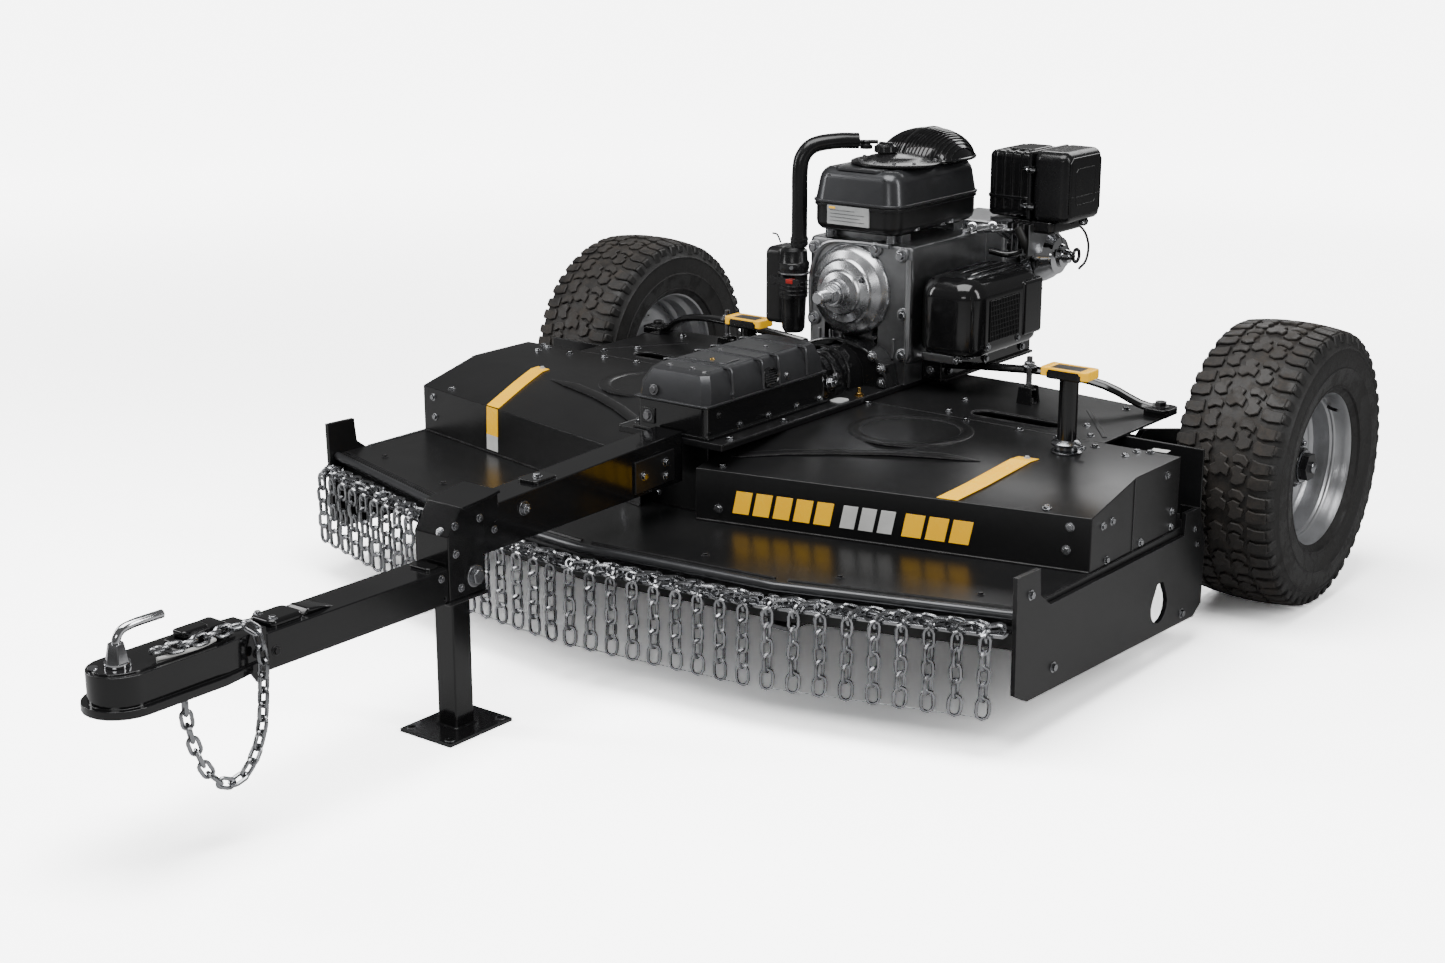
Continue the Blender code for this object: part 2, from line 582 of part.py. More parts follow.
def drawbar(machine, paint):
    """Post sleeve, the square tongue ahead of it and the rising beam behind it."""
    low, wall = POST_LOW, POST_WALL
    outline = [(POST_Y[0], low), (POST_Y[0], POST_TOP - 0.042), (POST_Y[0] + 0.030, POST_TOP),
               (POST_Y[1], POST_TOP), (POST_Y[1], low)]
    post = piece("post_sleeve", prism(outline, "X", -POST_HALF, POST_HALF), paint, machine)
    middle = sum(POST_Y) / 2
    inside = [(POST_Y[0] + wall, low + wall), (POST_Y[0] + wall, POST_TOP - 0.043 - wall / 2),
              (POST_Y[0] + 0.031, POST_TOP - wall), (POST_Y[1] - wall, POST_TOP - wall),
              (POST_Y[1] - wall, low + wall)]
    cut(post, prism(inside, "X", -POST_HALF + wall, POST_HALF - wall), machine)
    guide = LEG_HALF + 2 * GAP
    cut(post, block((-guide, guide), (middle - guide, middle + guide), (low - 0.01, low + 0.01)),
        machine)

    ends = (TONGUE_END_Y, POST_Y[0] - GAP)
    tongue = piece("tongue_tube", block((-TONGUE_HALF, TONGUE_HALF), ends, TONGUE_Z),
                   paint, machine)
    cut(tongue, block((-TONGUE_HALF + TUBE_WALL, TONGUE_HALF - TUBE_WALL),
                      (ends[0] - 0.01, ends[1] + 0.01),
                      (TONGUE_Z[0] + TUBE_WALL, TONGUE_Z[1] - TUBE_WALL)), machine)

    front, rear = POST_Y[1] + GAP, PLATFORM_Y[0] - GAP
    outline = [(front, BEAM_FRONT_Z[0]), (front, BEAM_FRONT_Z[1]), (rear, BEAM_REAR_Z[1]),
               (rear, BEAM_REAR_Z[0])]
    beam = piece("main_beam", prism(outline, "X", -BEAM_HALF, BEAM_HALF), paint, machine)
    inside = [(front - 0.01, BEAM_FRONT_Z[0] + TUBE_WALL), (front - 0.01, BEAM_FRONT_Z[1] - TUBE_WALL),
              (rear + 0.01, BEAM_REAR_Z[1] - TUBE_WALL), (rear + 0.01, BEAM_REAR_Z[0] + TUBE_WALL)]
    cut(beam, prism(inside, "X", -BEAM_HALF + TUBE_WALL, BEAM_HALF - TUBE_WALL), machine)


def coupler(machine, paint, dark, chrome):
    """Pressed coupler with a round nose on a wide flange, its latch and its lock pin."""
    back = TONGUE_END_Y - GAP
    nose = COUPLER_TIP_Y + COUPLER_HALF
    base_z = TONGUE_Z[0] + COUPLER_RISE
    top_z = TONGUE_Z[1] + COUPLER_RISE
    flange = (corner_arc((0, nose), COUPLER_HALF, 180, 360, 12)
              + [(COUPLER_HALF, back - 0.090), (TONGUE_HALF + 0.004, back),
                 (-TONGUE_HALF - 0.004, back), (-COUPLER_HALF, back - 0.090)])
    shell = piece("coupler_shell", prism(flange, "Z", base_z, base_z + 0.012), paint, machine)
    half = COUPLER_HALF - 0.009
    top = (corner_arc((0, nose), half, 180, 360, 12)
           + [(half, back - 0.080), (TONGUE_HALF, back), (-TONGUE_HALF, back),
              (-half, back - 0.080)])
    join(shell, prism(top, "Z", base_z + 0.006, top_z), machine)
    cut(shell, bar("Z", (0, nose, 0), (base_z - 0.01, top_z - 0.012), half - SOCKET_WALL),
        machine)
    pin_y = nose - 0.004
    cut(shell, bar("Z", (0, pin_y, 0), (top_z - 0.020, top_z + 0.02),
                   LOCK_PIN_RADIUS + RUNNING, 16), machine)
    deck = top_z + GAP

    pin_profile = [(base_z + 0.020, 0), (base_z + 0.020, LOCK_PIN_RADIUS),
                   (deck + 0.001, LOCK_PIN_RADIUS),
                   (deck + 0.001, 0.017), (deck + 0.020, 0.013), (deck + 0.030, 0.012),
                   (deck + 0.034, 0)]
    pin = piece("hitch_pin", turned(pin_profile, "Z", (0, pin_y, 0), 12), chrome, machine,
                (0, pin_y, deck), smooth=True)
    rod = smooth_line([(0, pin_y, deck + 0.024), (0, pin_y + 0.004, deck + 0.047),
                       (0, pin_y + 0.030, deck + 0.053), (0.004, pin_y + 0.075, deck + 0.055)], 4)
    join(pin, swept(rod, 0.0045, 8), machine)

    hinge = (0, back - 0.060, deck + LATCH_HINGE_RADIUS)
    outline = (corner_arc(hinge[1:], LATCH_HINGE_RADIUS, -90, 90, 6)
               + [(hinge[1] - 0.040, deck + 0.018), (hinge[1] - 0.075, deck + 0.008),
                  (hinge[1] - 0.078, deck)])
    piece("coupler_latch", prism(outline, "X", -LATCH_HALF, LATCH_HALF), dark, machine, hinge)


def safety_chain(machine, steel):
    """Envelope of the safety chain, from the lock pin's rod over the drawbar to the coupler."""
    # Each place is out to the side, back from the coupler's tip, and up from the tongue's top
    run = [(0.0235, 0.092, 0.026), (0.032, 0.132, 0.0235), (0.033, 0.177, 0.0235),
           (0.033, 0.217, 0.024), (0.046, 0.243, 0.020), (0.058, 0.247, -0.012),
           (0.060, 0.245, -0.060), (0.060, 0.235, -0.130), (0.057, 0.211, -0.176),
           (0.053, 0.179, -0.188), (0.048, 0.149, -0.162), (0.044, 0.131, -0.115),
           (0.042, 0.124, -0.075), (0.042, 0.123, -0.0475)]
    points = [(x, COUPLER_TIP_Y + back, TONGUE_Z[1] + up) for x, back, up in run]
    curve = bpy.data.curves.new("safety_chain", "CURVE")
    curve.dimensions = "3D"
    curve.bevel_depth = 0.010
    curve.bevel_resolution = 2
    curve.use_fill_caps = True
    line = smooth_line(points, 3)
    spline = curve.splines.new("POLY")
    spline.points.add(len(line) - 1)
    for spot, point in zip(spline.points, line):
        spot.co = (*point, 1.0)
    curve.materials.append(steel)
    chain = bpy.data.objects.new("safety_chain", curve)
    chain.parent = machine
    bpy.context.scene.collection.objects.link(chain)


def jack(machine, paint):
    """Square leg that slides in the post sleeve, and its foot plate."""
    middle = sum(POST_Y) / 2
    at = (0, middle, 0)
    leg = block((-LEG_HALF, LEG_HALF), (middle - LEG_HALF, middle + LEG_HALF),
                (FOOT_THICK + GAP, LEG_TOP))
    piece("jack_leg", leg, paint, machine, at)
    foot = block((-FOOT_HALF[0], FOOT_HALF[0]), (middle - FOOT_HALF[1], middle + FOOT_HALF[1]),
                 (0, FOOT_THICK))
    foot = piece("jack_foot", foot, paint, machine, at)
    for x in (-1, 1):
        for y in (-1, 1):
            corner = (x * (FOOT_HALF[0] - FOOT_HOLE_IN),
                      middle + y * (FOOT_HALF[1] - FOOT_HOLE_IN), 0)
            cut(foot, bar("Z", corner, (-0.01, FOOT_THICK + 0.01), FOOT_HOLE_RADIUS, 8), machine)


# ---------------------------------------------------------------- drive line

def tooth_ring(teeth, mean, depth, phase):
    """Angle and radius of each corner of a toothed wheel's outline."""
    points = []
    for tooth in range(teeth):
        centre = 2 * pi * (tooth + phase) / teeth
        for shift, sign in ((-0.30, -1), (-0.14, 1), (0.14, 1), (0.30, -1)):
            points.append((centre + 2 * pi * shift / teeth, mean + sign * depth))
    return points


def spur_gear(centre_z, phase):
    """One of the equal gears between the crankshaft and the lower drive shaft."""
    ring = tooth_ring(SPUR_TEETH, GEAR_SPACING / 2 - BACKLASH, TOOTH_HALF_DEPTH, phase)
    outline = [(r * cos(a), centre_z + r * sin(a)) for a, r in ring]
    return prism(outline, "Y", *SPUR_Y)


def mitre_gear(axis, phase):
    """A 45 degree bevel gear whose cone meets its mate's at the gearbox centre."""
    rings = []
    for distance in (MITRE_NEAR, MITRE_FAR):
        ring = tooth_ring(MITRE_TEETH, distance * 0.955, distance * 0.085, phase)
        if axis == "Y":
            rings.append([(r * sin(a), GEARBOX_Y + distance, DRIVE_Z + r * cos(a))
                          for a, r in ring])
        else:
            rings.append([(r * sin(a), GEARBOX_Y + r * cos(a), DRIVE_Z - distance)
                          for a, r in ring])
    return loft(rings)


def drive_line(machine, steel):
    """Crankshaft, the lower drive shaft that it gears to, and the upright spindle in front."""
    tip = CRANK_TIP_Y
    profile = [(tip, 0), (tip, CRANK_RADIUS - 0.002), (tip + 0.003, CRANK_RADIUS),
               (SPUR_Y[1] + 0.012, CRANK_RADIUS), (SPUR_Y[1] + 0.012, 0)]
    crank = piece("crankshaft", turned(profile, "Y", (0, 0, CRANK_Z)), steel, machine,
                  (0, tip, CRANK_Z), smooth=True)
    join(crank, spur_gear(CRANK_Z, 0.0), machine)

    start = GEARBOX_Y + MITRE_NEAR + 0.002
    lower = piece("drive_shaft", bar("Y", (0, 0, DRIVE_Z), (start, SPUR_Y[1] + 0.012),
                                     DRIVE_SHAFT_RADIUS), steel, machine, (0, start, DRIVE_Z))
    join(lower, spur_gear(DRIVE_Z, 0.5), machine)
    join(lower, mitre_gear("Y", 0.5), machine)

    at = (0, GEARBOX_Y, 0)
    mid = sum(BELT_Z) / 2
    profile = [(mid - 0.014, 0), (mid - 0.014, PULLEY_RADIUS - 0.003),
               (mid - 0.010, PULLEY_RADIUS - 0.003), (mid - 0.0065, GROOVE_RADIUS),
               (mid + 0.0065, GROOVE_RADIUS), (mid + 0.010, PULLEY_RADIUS - 0.003),
               (mid + 0.014, PULLEY_RADIUS - 0.003), (mid + 0.014, DRIVE_SHAFT_RADIUS),
               (DRIVE_Z - MITRE_NEAR - 0.002, DRIVE_SHAFT_RADIUS), (DRIVE_Z - MITRE_NEAR - 0.002, 0)]
    upright = piece("centre_spindle", turned(profile, "Z", at), steel, machine, at)
    join(upright, mitre_gear("Z", 0.0), machine)


def drive_covers(machine, paint, hood_paint):
    """Platform, the two-part gearbox cover on it and the neck that runs back to the engine."""
    half = PLATFORM_HALF
    platform = piece("drive_platform", block((-half, half), PLATFORM_Y, PLATFORM_Z),
                     paint, machine)
    cut(platform, bar("Z", (0, GEARBOX_Y, 0), (PLATFORM_Z[0] - 0.01, PLATFORM_Z[1] + 0.01),
                      SPINDLE_HOLE_RADIUS), machine)

    half, wall = DRIVE_COVER_HALF, COVER_WALL
    low = PLATFORM_Z[1] + GAP
    base = piece("drive_cover_base", block((-half, half), DRIVE_COVER_Y, (low, DRIVE_COVER_LIP),
                                           DRIVE_COVER_CORNER, True), paint, machine)
    inner_y = (DRIVE_COVER_Y[0] + wall, DRIVE_COVER_Y[1] - wall)
    cut(base, block((-half + wall, half - wall), inner_y, (low - 0.01, DRIVE_COVER_LIP + 0.01),
                    0.010, True), machine)
    port = DRIVE_PORT_RADIUS
    cut(base, bar("Y", (0, 0, DRIVE_Z), (DRIVE_COVER_Y[1] - 0.02, DRIVE_COVER_Y[1] + 0.02), port),
        machine)

    def level(inset, z, front, back):
        """Plan of the hood at one height, drawn in from the base's."""
        x = half - inset
        y0, y1 = DRIVE_COVER_Y[0] + front, DRIVE_COVER_Y[1] - back
        c = DRIVE_COVER_CORNER
        return [(-x + c, y0, z), (x - c, y0, z), (x, y0 + c, z), (x, y1 - c, z),
                (x - c, y1, z), (-x + c, y1, z), (-x, y1 - c, z), (-x, y0 + c, z)]

    foot = DRIVE_COVER_LIP + GAP
    hood = piece("drive_cover_hood", loft([level(0.000, foot, 0.0, 0.0),
                                           level(0.002, foot + 0.028, 0.004, 0.002),
                                           level(0.014, HOOD_TOP - 0.006, 0.016, 0.006),
                                           level(0.022, HOOD_TOP, 0.030, 0.014)]),
                 hood_paint, machine)
    cut(hood, loft([level(wall, foot - 0.01, wall, wall),
                    level(wall + 0.002, foot + 0.027, wall + 0.004, wall + 0.002),
                    level(wall + 0.014, HOOD_TOP - 0.010, wall + 0.018, wall + 0.008),
                    level(wall + 0.022, HOOD_TOP - wall, wall + 0.032, wall + 0.016)]), machine)
    cut(hood, bar("Y", (0, 0, DRIVE_Z), (DRIVE_COVER_Y[1] - 0.02, DRIVE_COVER_Y[1] + 0.02), port),
        machine)

    start, end = DRIVE_COVER_Y[1] + GAP, CASE_Y[0] - GAP
    top = NECK_TOP

    def arch(half_width, crown, bottom):
        """Arched section of the neck or of its bell end."""
        radius = crown - bottom
        shoulder = corner_arc((0, 0), 1.0, 0, 180, 8)
        return [(half_width * c, bottom + radius * max(0.0, s) ** 0.7) for c, s in shoulder]

    duct = arch(NECK_HALF, top - 0.006, low)
    neck = piece("drive_neck", prism(duct, "Y", start, end - 0.030), paint, machine)
    join(neck, prism(arch(PLATFORM_HALF - 0.004, top, low), "Y", end - 0.045, end), machine)
    cut(neck, bar("Y", (0, 0, DRIVE_Z), (start - 0.01, end + 0.01), DRIVE_SHAFT_RADIUS + 0.006),
        machine)


# ---------------------------------------------------------------- engine

def engine_block(machine, casting, paint):
    """Plinth, crankcase with its gear pockets and tank lugs, and the cover on the shaft's end."""
    piece("engine_base", block(BASE_X, BASE_Y, BASE_Z), paint, machine)
    gear_radius = GEAR_SPACING / 2 + TOOTH_HALF_DEPTH + 0.0020
    case = piece("crankcase", block(CASE_X, CASE_Y, CASE_Z, 0.010), casting, machine)
    front = (CASE_Y[0], SPUR_Y[1] + 0.0285)
    join(case, block((CASE_X[0] + 0.012, CASE_X[1] - 0.012), front,
                     (BASE_Z[0], CASE_Z[0] + 0.02)), machine)
    join(case, block(HEAD_X, HEAD_Y, HEAD_Z, 0.008), machine)
    join(case, block((HEAD_X[1] - 0.053, HEAD_X[1] - 0.003), (HEAD_Y[0] + 0.030, HEAD_Y[1] - 0.015),
                     (HEAD_Z[1] - 0.006, FILTER_Z[0] - GAP)), machine)
    lug_top = TANK_Z[0] - GAP
    for y in (TANK_Y[0] + 0.060, TANK_Y[1] - 0.060):
        join(case, block((TANK_X[0] + 0.007, TANK_X[1] - 0.015), (y - 0.015, y + 0.015),
                         (CASE_Z[1] - 0.005, lug_top)), machine)
    pocket = (corner_arc((0, CRANK_Z), gear_radius, 0, 180, 12)
              + corner_arc((0, DRIVE_Z), gear_radius, 180, 360, 12))
    cut(case, prism(pocket, "Y", CASE_Y[0] - 0.01, SPUR_Y[1] + 0.004), machine)
    for z in (CRANK_Z, DRIVE_Z):
        cut(case, bar("Y", (0, 0, z), (CASE_Y[0] - 0.02, SPUR_Y[1] + 0.014),
                      CRANK_RADIUS + 0.0010, 20), machine)

    face = CASE_Y[0] - GAP
    bore = CRANK_RADIUS / cos(pi / 24) + GAP
    profile = [(face, bore), (face, 0.088), (face - 0.008, 0.088), (face - 0.012, 0.080),
               (face - 0.022, 0.078), (face - 0.032, 0.060), (face - 0.036, 0.044),
               (face - 0.050, 0.040), (face - 0.052, 0.026), (face - 0.062, 0.024),
               (face - 0.062, bore)]
    piece("bearing_cover", turned(profile, "Y", (0, 0, CRANK_Z), 24), casting, machine,
          smooth=True)


def engine_tops(machine, paint, tank_paint, chrome):
    """Shroud, fuel tank, fan dome on its disc, air filter, muffler, canister and breather pipe."""
    shroud = block(SHROUD_X, SHROUD_Y, SHROUD_Z, 0.024)
    piece("engine_shroud", shroud, paint, machine, smooth=True)
    tank = block(TANK_X, TANK_Y, TANK_Z, 0.026)
    piece("fuel_tank", tank, tank_paint, machine, smooth=True)

    top = TANK_Z[1] + GAP
    disc = [(top, 0), (top, 0.058), (top + 0.006, 0.062), (top + 0.008, 0.086),
            (top + 0.014, 0.084), (top + FILLER_RISE, 0.050), (top + FILLER_RISE, 0)]
    dome = piece("fan_dome", turned(disc, "Z", (*FILLER_AT, 0), 24), paint, machine,
                 smooth=True)
    rings = []
    for k in range(9):
        turn = -pi / 2 + pi * (k + 0.5) / 9
        y = -0.072 + 0.100 * sin(turn)
        width, height = 0.088 * cos(turn), 0.058 * cos(turn)
        arc = corner_arc((0, 0), 1.0, 0, 180, 8)
        rings.append([(0.028 + width * c, y, top + height * s) for c, s in arc])
    join(dome, loft(rings), machine)

    air = block(FILTER_X, FILTER_Y, FILTER_Z, 0.012)
    piece("air_filter", air, paint, machine, smooth=True)
    near = HEAD_X[1] + GAP
    hub = [(near, 0), (near, 0.030), (near + 0.0075, 0.046), (near + 0.0315, 0.054),
           (near + 0.0565, 0.050), (near + 0.0735, 0.030), (near + 0.0775, 0.016),
           (near + 0.0975, 0.014), (near + 0.0975, 0)]
    piece("muffler", turned(hub, "X", (0, *MUFFLER_AT)), chrome, machine, smooth=True)

    x, y = CANISTER_AT
    radius = CANISTER_RADIUS
    can = [(CANISTER_Z[0], 0), (CANISTER_Z[0], radius - 0.006), (CANISTER_Z[0] + 0.006, radius),
           (CANISTER_Z[1] - 0.008, radius), (CANISTER_Z[1], radius - 0.010), (CANISTER_Z[1], 0)]
    can = piece("canister", turned(can, "Z", (x, y, 0)), paint, machine, smooth=True)
    stay = block((x - 0.012, CASE_X[0] - GAP), (y + 0.020, y + 0.055),
                 (CANISTER_Z[0] + 0.030, CANISTER_Z[0] + 0.060))
    join(can, stay, machine)
    top = CANISTER_Z[1]
    bend = [(x + 0.026, y, top + GAP), (x + 0.026, y, top + 0.095), (x + 0.026, y, top + 0.165),
            (x + 0.044, y + 0.020, top + 0.195), (x + 0.075, y + 0.052, top + 0.2015),
            (x + 0.104, y + 0.082, top + 0.2015)]
    piece("breather_pipe", swept(smooth_line(bend, 4), BREATHER_RADIUS, 12), paint, machine,
          smooth=True)


def small_controls(machine, paint, red):
    """Filler cap and throttle lever."""
    cap = (*CAP_AT, 0)
    low = TANK_Z[1] + FILLER_RISE + 2 * GAP
    profile = [(low, 0), (low, 0.020), (low + 0.010, 0.022), (low + 0.015, 0.018),
               (low + 0.016, 0)]
    piece("fuel_cap", turned(profile, "Z", cap, 16), paint, machine, (*CAP_AT, low), smooth=True)
    x, y = CANISTER_AT
    at = (x, y, CANISTER_Z[1] - LEVER_DROP)
    front = y - CANISTER_RADIUS - GAP
    hub = bar("Y", (x, 0, at[2]), (front - 0.010, front), 0.009, 12)
    lever = piece("throttle_lever", hub, red, machine, (x, front, at[2]))
    join(lever, block((x, x + 0.062), (front - 0.0095, front - 0.0045),
                      (at[2] - 0.006, at[2] + 0.006)), machine)


# ---------------------------------------------------------------- wheels and yoke

def yoke(machine, paint):
    """Cross shaft, two trailing arms and the stub axles: one welded piece that lifts the deck."""
    origin = (0, PIVOT_Y, PIVOT_Z)
    inner = ARM_X + ARM_THICK / 2
    shaft = piece("axle_yoke", bar("X", origin, (-inner + 0.002, inner - 0.002), PIVOT_RADIUS),
                  paint, machine, origin)
    for side in (-1, 1):
        outline = (corner_arc((PIVOT_Y, PIVOT_Z), ARM_HALF_WIDTH, 80, 260, 6)
                   + corner_arc((WHEEL_Y, TYRE_RADIUS), ARM_HALF_WIDTH, -100, 80, 6))
        x = side * ARM_X
        join(shaft, prism(outline, "X", x - ARM_THICK / 2, x + ARM_THICK / 2), machine)
        shoulder = WHEEL_X - HUB_HALF - 0.002
        near, far = ARM_X, WHEEL_X + HUB_HALF + 0.004
        axle = [(near, 0), (near, AXLE_RADIUS + 0.010), (shoulder, AXLE_RADIUS + 0.008),
                (shoulder, AXLE_RADIUS), (far, AXLE_RADIUS), (far, 0)]
        axle = [(side * a, r) for a, r in axle]
        join(shaft, turned(axle, "X", (0, WHEEL_Y, TYRE_RADIUS)), machine)
        nut = corner_arc((WHEEL_Y, TYRE_RADIUS), NUT_RADIUS, 0, 300, 5)
        face = WHEEL_X + HUB_HALF + GAP
        ends = sorted((side * face, side * (face + 0.0157)))
        join(shaft, prism(nut, "X", *ends), machine)


def wheels(machine, rubber, silver):
    """Tyre and deep-dish rim, turned about the axle."""
    half, rim_half = TYRE_WIDTH / 2, RIM_WIDTH / 2
    bore = AXLE_RADIUS / cos(pi / WHEEL_FACETS) + GAP
    for name, side in (("left", -1), ("right", 1)):
        centre = (side * WHEEL_X, WHEEL_Y, TYRE_RADIUS)
        bead = BEAD_RADIUS + GAP
        tyre = [(-rim_half + 0.010, bead), (-rim_half + 0.010, FLANGE_RADIUS + 0.001),
                (-half + 0.008, FLANGE_RADIUS + 0.012),
                (-half, TYRE_RADIUS - 0.065), (-half + 0.004, TYRE_RADIUS - 0.020),
                (-half + 0.024, TYRE_RADIUS), (half - 0.024, TYRE_RADIUS),
                (half - 0.004, TYRE_RADIUS - 0.020), (half, TYRE_RADIUS - 0.065),
                (half - 0.008, FLANGE_RADIUS + 0.012),
                (rim_half - 0.010, FLANGE_RADIUS + 0.001), (rim_half - 0.010, bead)]
        piece(f"{name}_tyre", turned(tyre, "X", centre, WHEEL_FACETS), rubber, machine, centre,
              smooth=True)
        rim = [(-rim_half, FLANGE_RADIUS), (-rim_half + 0.005, FLANGE_RADIUS),
               (-rim_half + 0.008, BEAD_RADIUS), (rim_half - 0.008, BEAD_RADIUS),
               (rim_half - 0.005, FLANGE_RADIUS), (rim_half, FLANGE_RADIUS),
               (rim_half - 0.003, BEAD_RADIUS - 0.003), (0.062, 0.131), (0.050, 0.116),
               (0.014, 0.106), (0.014, HUB_RADIUS), (HUB_HALF, HUB_RADIUS), (HUB_HALF, bore),
               (-HUB_HALF, bore), (-HUB_HALF, HUB_RADIUS), (0.006, HUB_RADIUS), (0.006, 0.112),
               (0.040, 0.122), (-0.060, 0.131), (-rim_half + 0.003, BEAD_RADIUS - 0.003)]
        rim = [(side * a, r) for a, r in rim]
        piece(f"{name}_rim", turned(rim, "X", centre, WHEEL_FACETS), silver, machine, centre,
              smooth=True)


def latch_posts(machine, paint, yellow):
    """Posts on the deck's top, each with a pull-up handle on a rod inside it."""
    low = PLATE_Z[1] + GAP
    for name, x, y, height in LATCHES:
        top = low + height
        bore = LATCH_ROD_RADIUS / cos(pi / 16) + GAP
        tube = [(low, bore), (low, 0.026), (low + 0.004, 0.026), (low + 0.005, 0.022),
                (low + 0.014, 0.022), (low + 0.015, LATCH_POST_RADIUS),
                (top, LATCH_POST_RADIUS), (top, bore)]
        piece(f"{name}_latch_post", turned(tube, "Z", (x, y, 0), 16), paint, machine, smooth=True)
        rod = piece(f"{name}_latch_handle", bar("Z", (x, y, 0), (low + 0.005, top + 0.01),
                                                LATCH_ROD_RADIUS, 16),
                    yellow, machine, (x, y, top))
        half_x, half_y = HANDLE_HALF
        join(rod, block((x - half_x, x + half_x), (y - half_y, y + half_y),
                        (top + GAP, top + HANDLE_THICK), 0.006, True), machine)


def build():
    """The whole machine, hung on one empty."""
    clear_scene()
    machine = bpy.data.objects.new("machine", None)
    machine.location = (0, AXLE_Y, 0)
    bpy.context.scene.collection.objects.link(machine)

    paint = finish("black_paint", (0.012, 0.012, 0.013), 0.28, 0.0)
    satin = finish("satin_black", (0.020, 0.020, 0.022), 0.45, 0.0)
    graphite = finish("graphite_paint", (0.085, 0.087, 0.092), 0.40, 0.5)
    casting = finish("cast_aluminium", (0.55, 0.56, 0.57), 0.38, 1.0)
    chrome = finish("chrome", (0.75, 0.75, 0.76), 0.12, 1.0)
    zinc = finish("zinc", (0.50, 0.51, 0.53), 0.32, 1.0)
    steel = finish("steel", (0.30, 0.30, 0.31), 0.40, 1.0)
    rubber = finish("rubber", (0.022, 0.020, 0.019), 0.80, 0.0)
    silver = finish("silver_rim", (0.52, 0.53, 0.55), 0.35, 0.8)
    yellow = finish("yellow", (0.85, 0.52, 0.02), 0.40, 0.0)
    red = finish("red", (0.45, 0.03, 0.02), 0.40, 0.0)

    deck_pan(machine, satin)
    side_plate("left_side_plate", -1, machine, satin)
    side_plate("right_side_plate", 1, machine, satin)
    front_bars(machine, paint, zinc)
    curtain(machine, zinc)
    belt_covers(machine, satin)
    rear_frame(machine, satin)
    braces(machine, paint)
    blade_disc(machine, steel)
    blades(machine, steel)
    deck_belt(machine, rubber)
    drawbar(machine, satin)
    coupler(machine, paint, satin, chrome)
    safety_chain(machine, zinc)
    jack(machine, satin)
    drive_line(machine, steel)
    drive_covers(machine, paint, graphite)
    engine_block(machine, casting, paint)
    engine_tops(machine, paint, graphite, chrome)
    small_controls(machine, paint, red)
    yoke(machine, satin)
    wheels(machine, rubber, silver)
    latch_posts(machine, paint, yellow)


build()
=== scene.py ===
import json
import random
from math import atan2, cos, pi, radians, sin, sqrt

import bmesh
import bpy
from mathutils import Matrix, Vector
from mathutils.bvhtree import BVHTree


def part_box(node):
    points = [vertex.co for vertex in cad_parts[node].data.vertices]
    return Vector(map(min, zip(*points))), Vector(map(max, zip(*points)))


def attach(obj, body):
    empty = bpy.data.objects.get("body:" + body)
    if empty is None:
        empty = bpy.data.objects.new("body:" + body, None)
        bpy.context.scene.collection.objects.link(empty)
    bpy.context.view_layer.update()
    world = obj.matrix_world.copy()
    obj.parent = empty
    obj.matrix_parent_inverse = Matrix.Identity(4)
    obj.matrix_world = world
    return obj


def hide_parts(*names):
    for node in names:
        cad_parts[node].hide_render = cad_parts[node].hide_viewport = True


# Looks of the tow-behind brush mower. Lengths are in metres, drawn from a line over the axle
# as the solid model is, and every piece is moved by the axle's own place when it is finished.
# Names with right_ are on the +X side. Each visible piece stands for one or more plain solids.

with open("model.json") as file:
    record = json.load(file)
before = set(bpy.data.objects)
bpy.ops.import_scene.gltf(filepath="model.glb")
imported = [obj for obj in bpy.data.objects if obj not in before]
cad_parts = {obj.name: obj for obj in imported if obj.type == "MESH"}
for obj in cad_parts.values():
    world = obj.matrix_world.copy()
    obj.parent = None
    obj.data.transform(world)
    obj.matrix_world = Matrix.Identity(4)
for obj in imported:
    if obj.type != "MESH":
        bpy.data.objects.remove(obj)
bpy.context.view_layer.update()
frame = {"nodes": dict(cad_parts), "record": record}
BODY_OF = {n: b for b, members in frame["record"]["behaviour"]["bodies"].items() for n in members}

RIM_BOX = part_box("right_rim")
AXLE = Vector((0, (RIM_BOX[0].y + RIM_BOX[1].y) / 2, 0))
WHEEL_Z = (RIM_BOX[0].z + RIM_BOX[1].z) / 2
WHEEL_X = (RIM_BOX[0].x + RIM_BOX[1].x) / 2
ALONG = {"x": 0, "y": 1, "z": 2}
SPREAD = random.Random(7)


def box_of(node):
    """Lowest and highest corner of a solid, from the axle line."""
    low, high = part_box(node)
    return low - AXLE, high - AXLE


TREES = {}


def on_surface(node, start, direction, proud=0.0):
    """The first point a line from start meets on a solid, lifted a little, and the way it faces."""
    if node not in TREES:
        solid = bmesh.new()
        solid.from_mesh(frame["nodes"][node].data)
        TREES[node] = BVHTree.FromBMesh(solid)
        solid.free()
    place, normal, _, _ = TREES[node].ray_cast(Vector(start) + AXLE, Vector(direction).normalized())
    if place is None:
        return Vector(start), -Vector(direction).normalized()
    return place - AXLE + normal * proud, normal


def laid_on(node, points, proud=0.0005, gaps=8):
    """Points of a line seen from above, dropped on to a solid."""
    line = []
    for before, after in zip(points, points[1:]):
        for k in range(gaps):
            line.append(Vector((*before, 0)).lerp(Vector((*after, 0)), k / gaps))
    line.append(Vector((*points[-1], 0)))
    return [on_surface(node, (p.x, p.y, 1.0), (0, 0, -1), proud)[0] for p in line]


# ---------------------------------------------------------------- camera

LENS = 53.71
CAMERA_TURN = radians(37.59)
CAMERA_RISE = radians(16.066)
CAMERA_AWAY = 4.4925
LOOK_AT = Vector((-0.3587, -0.2223, 0.0767))


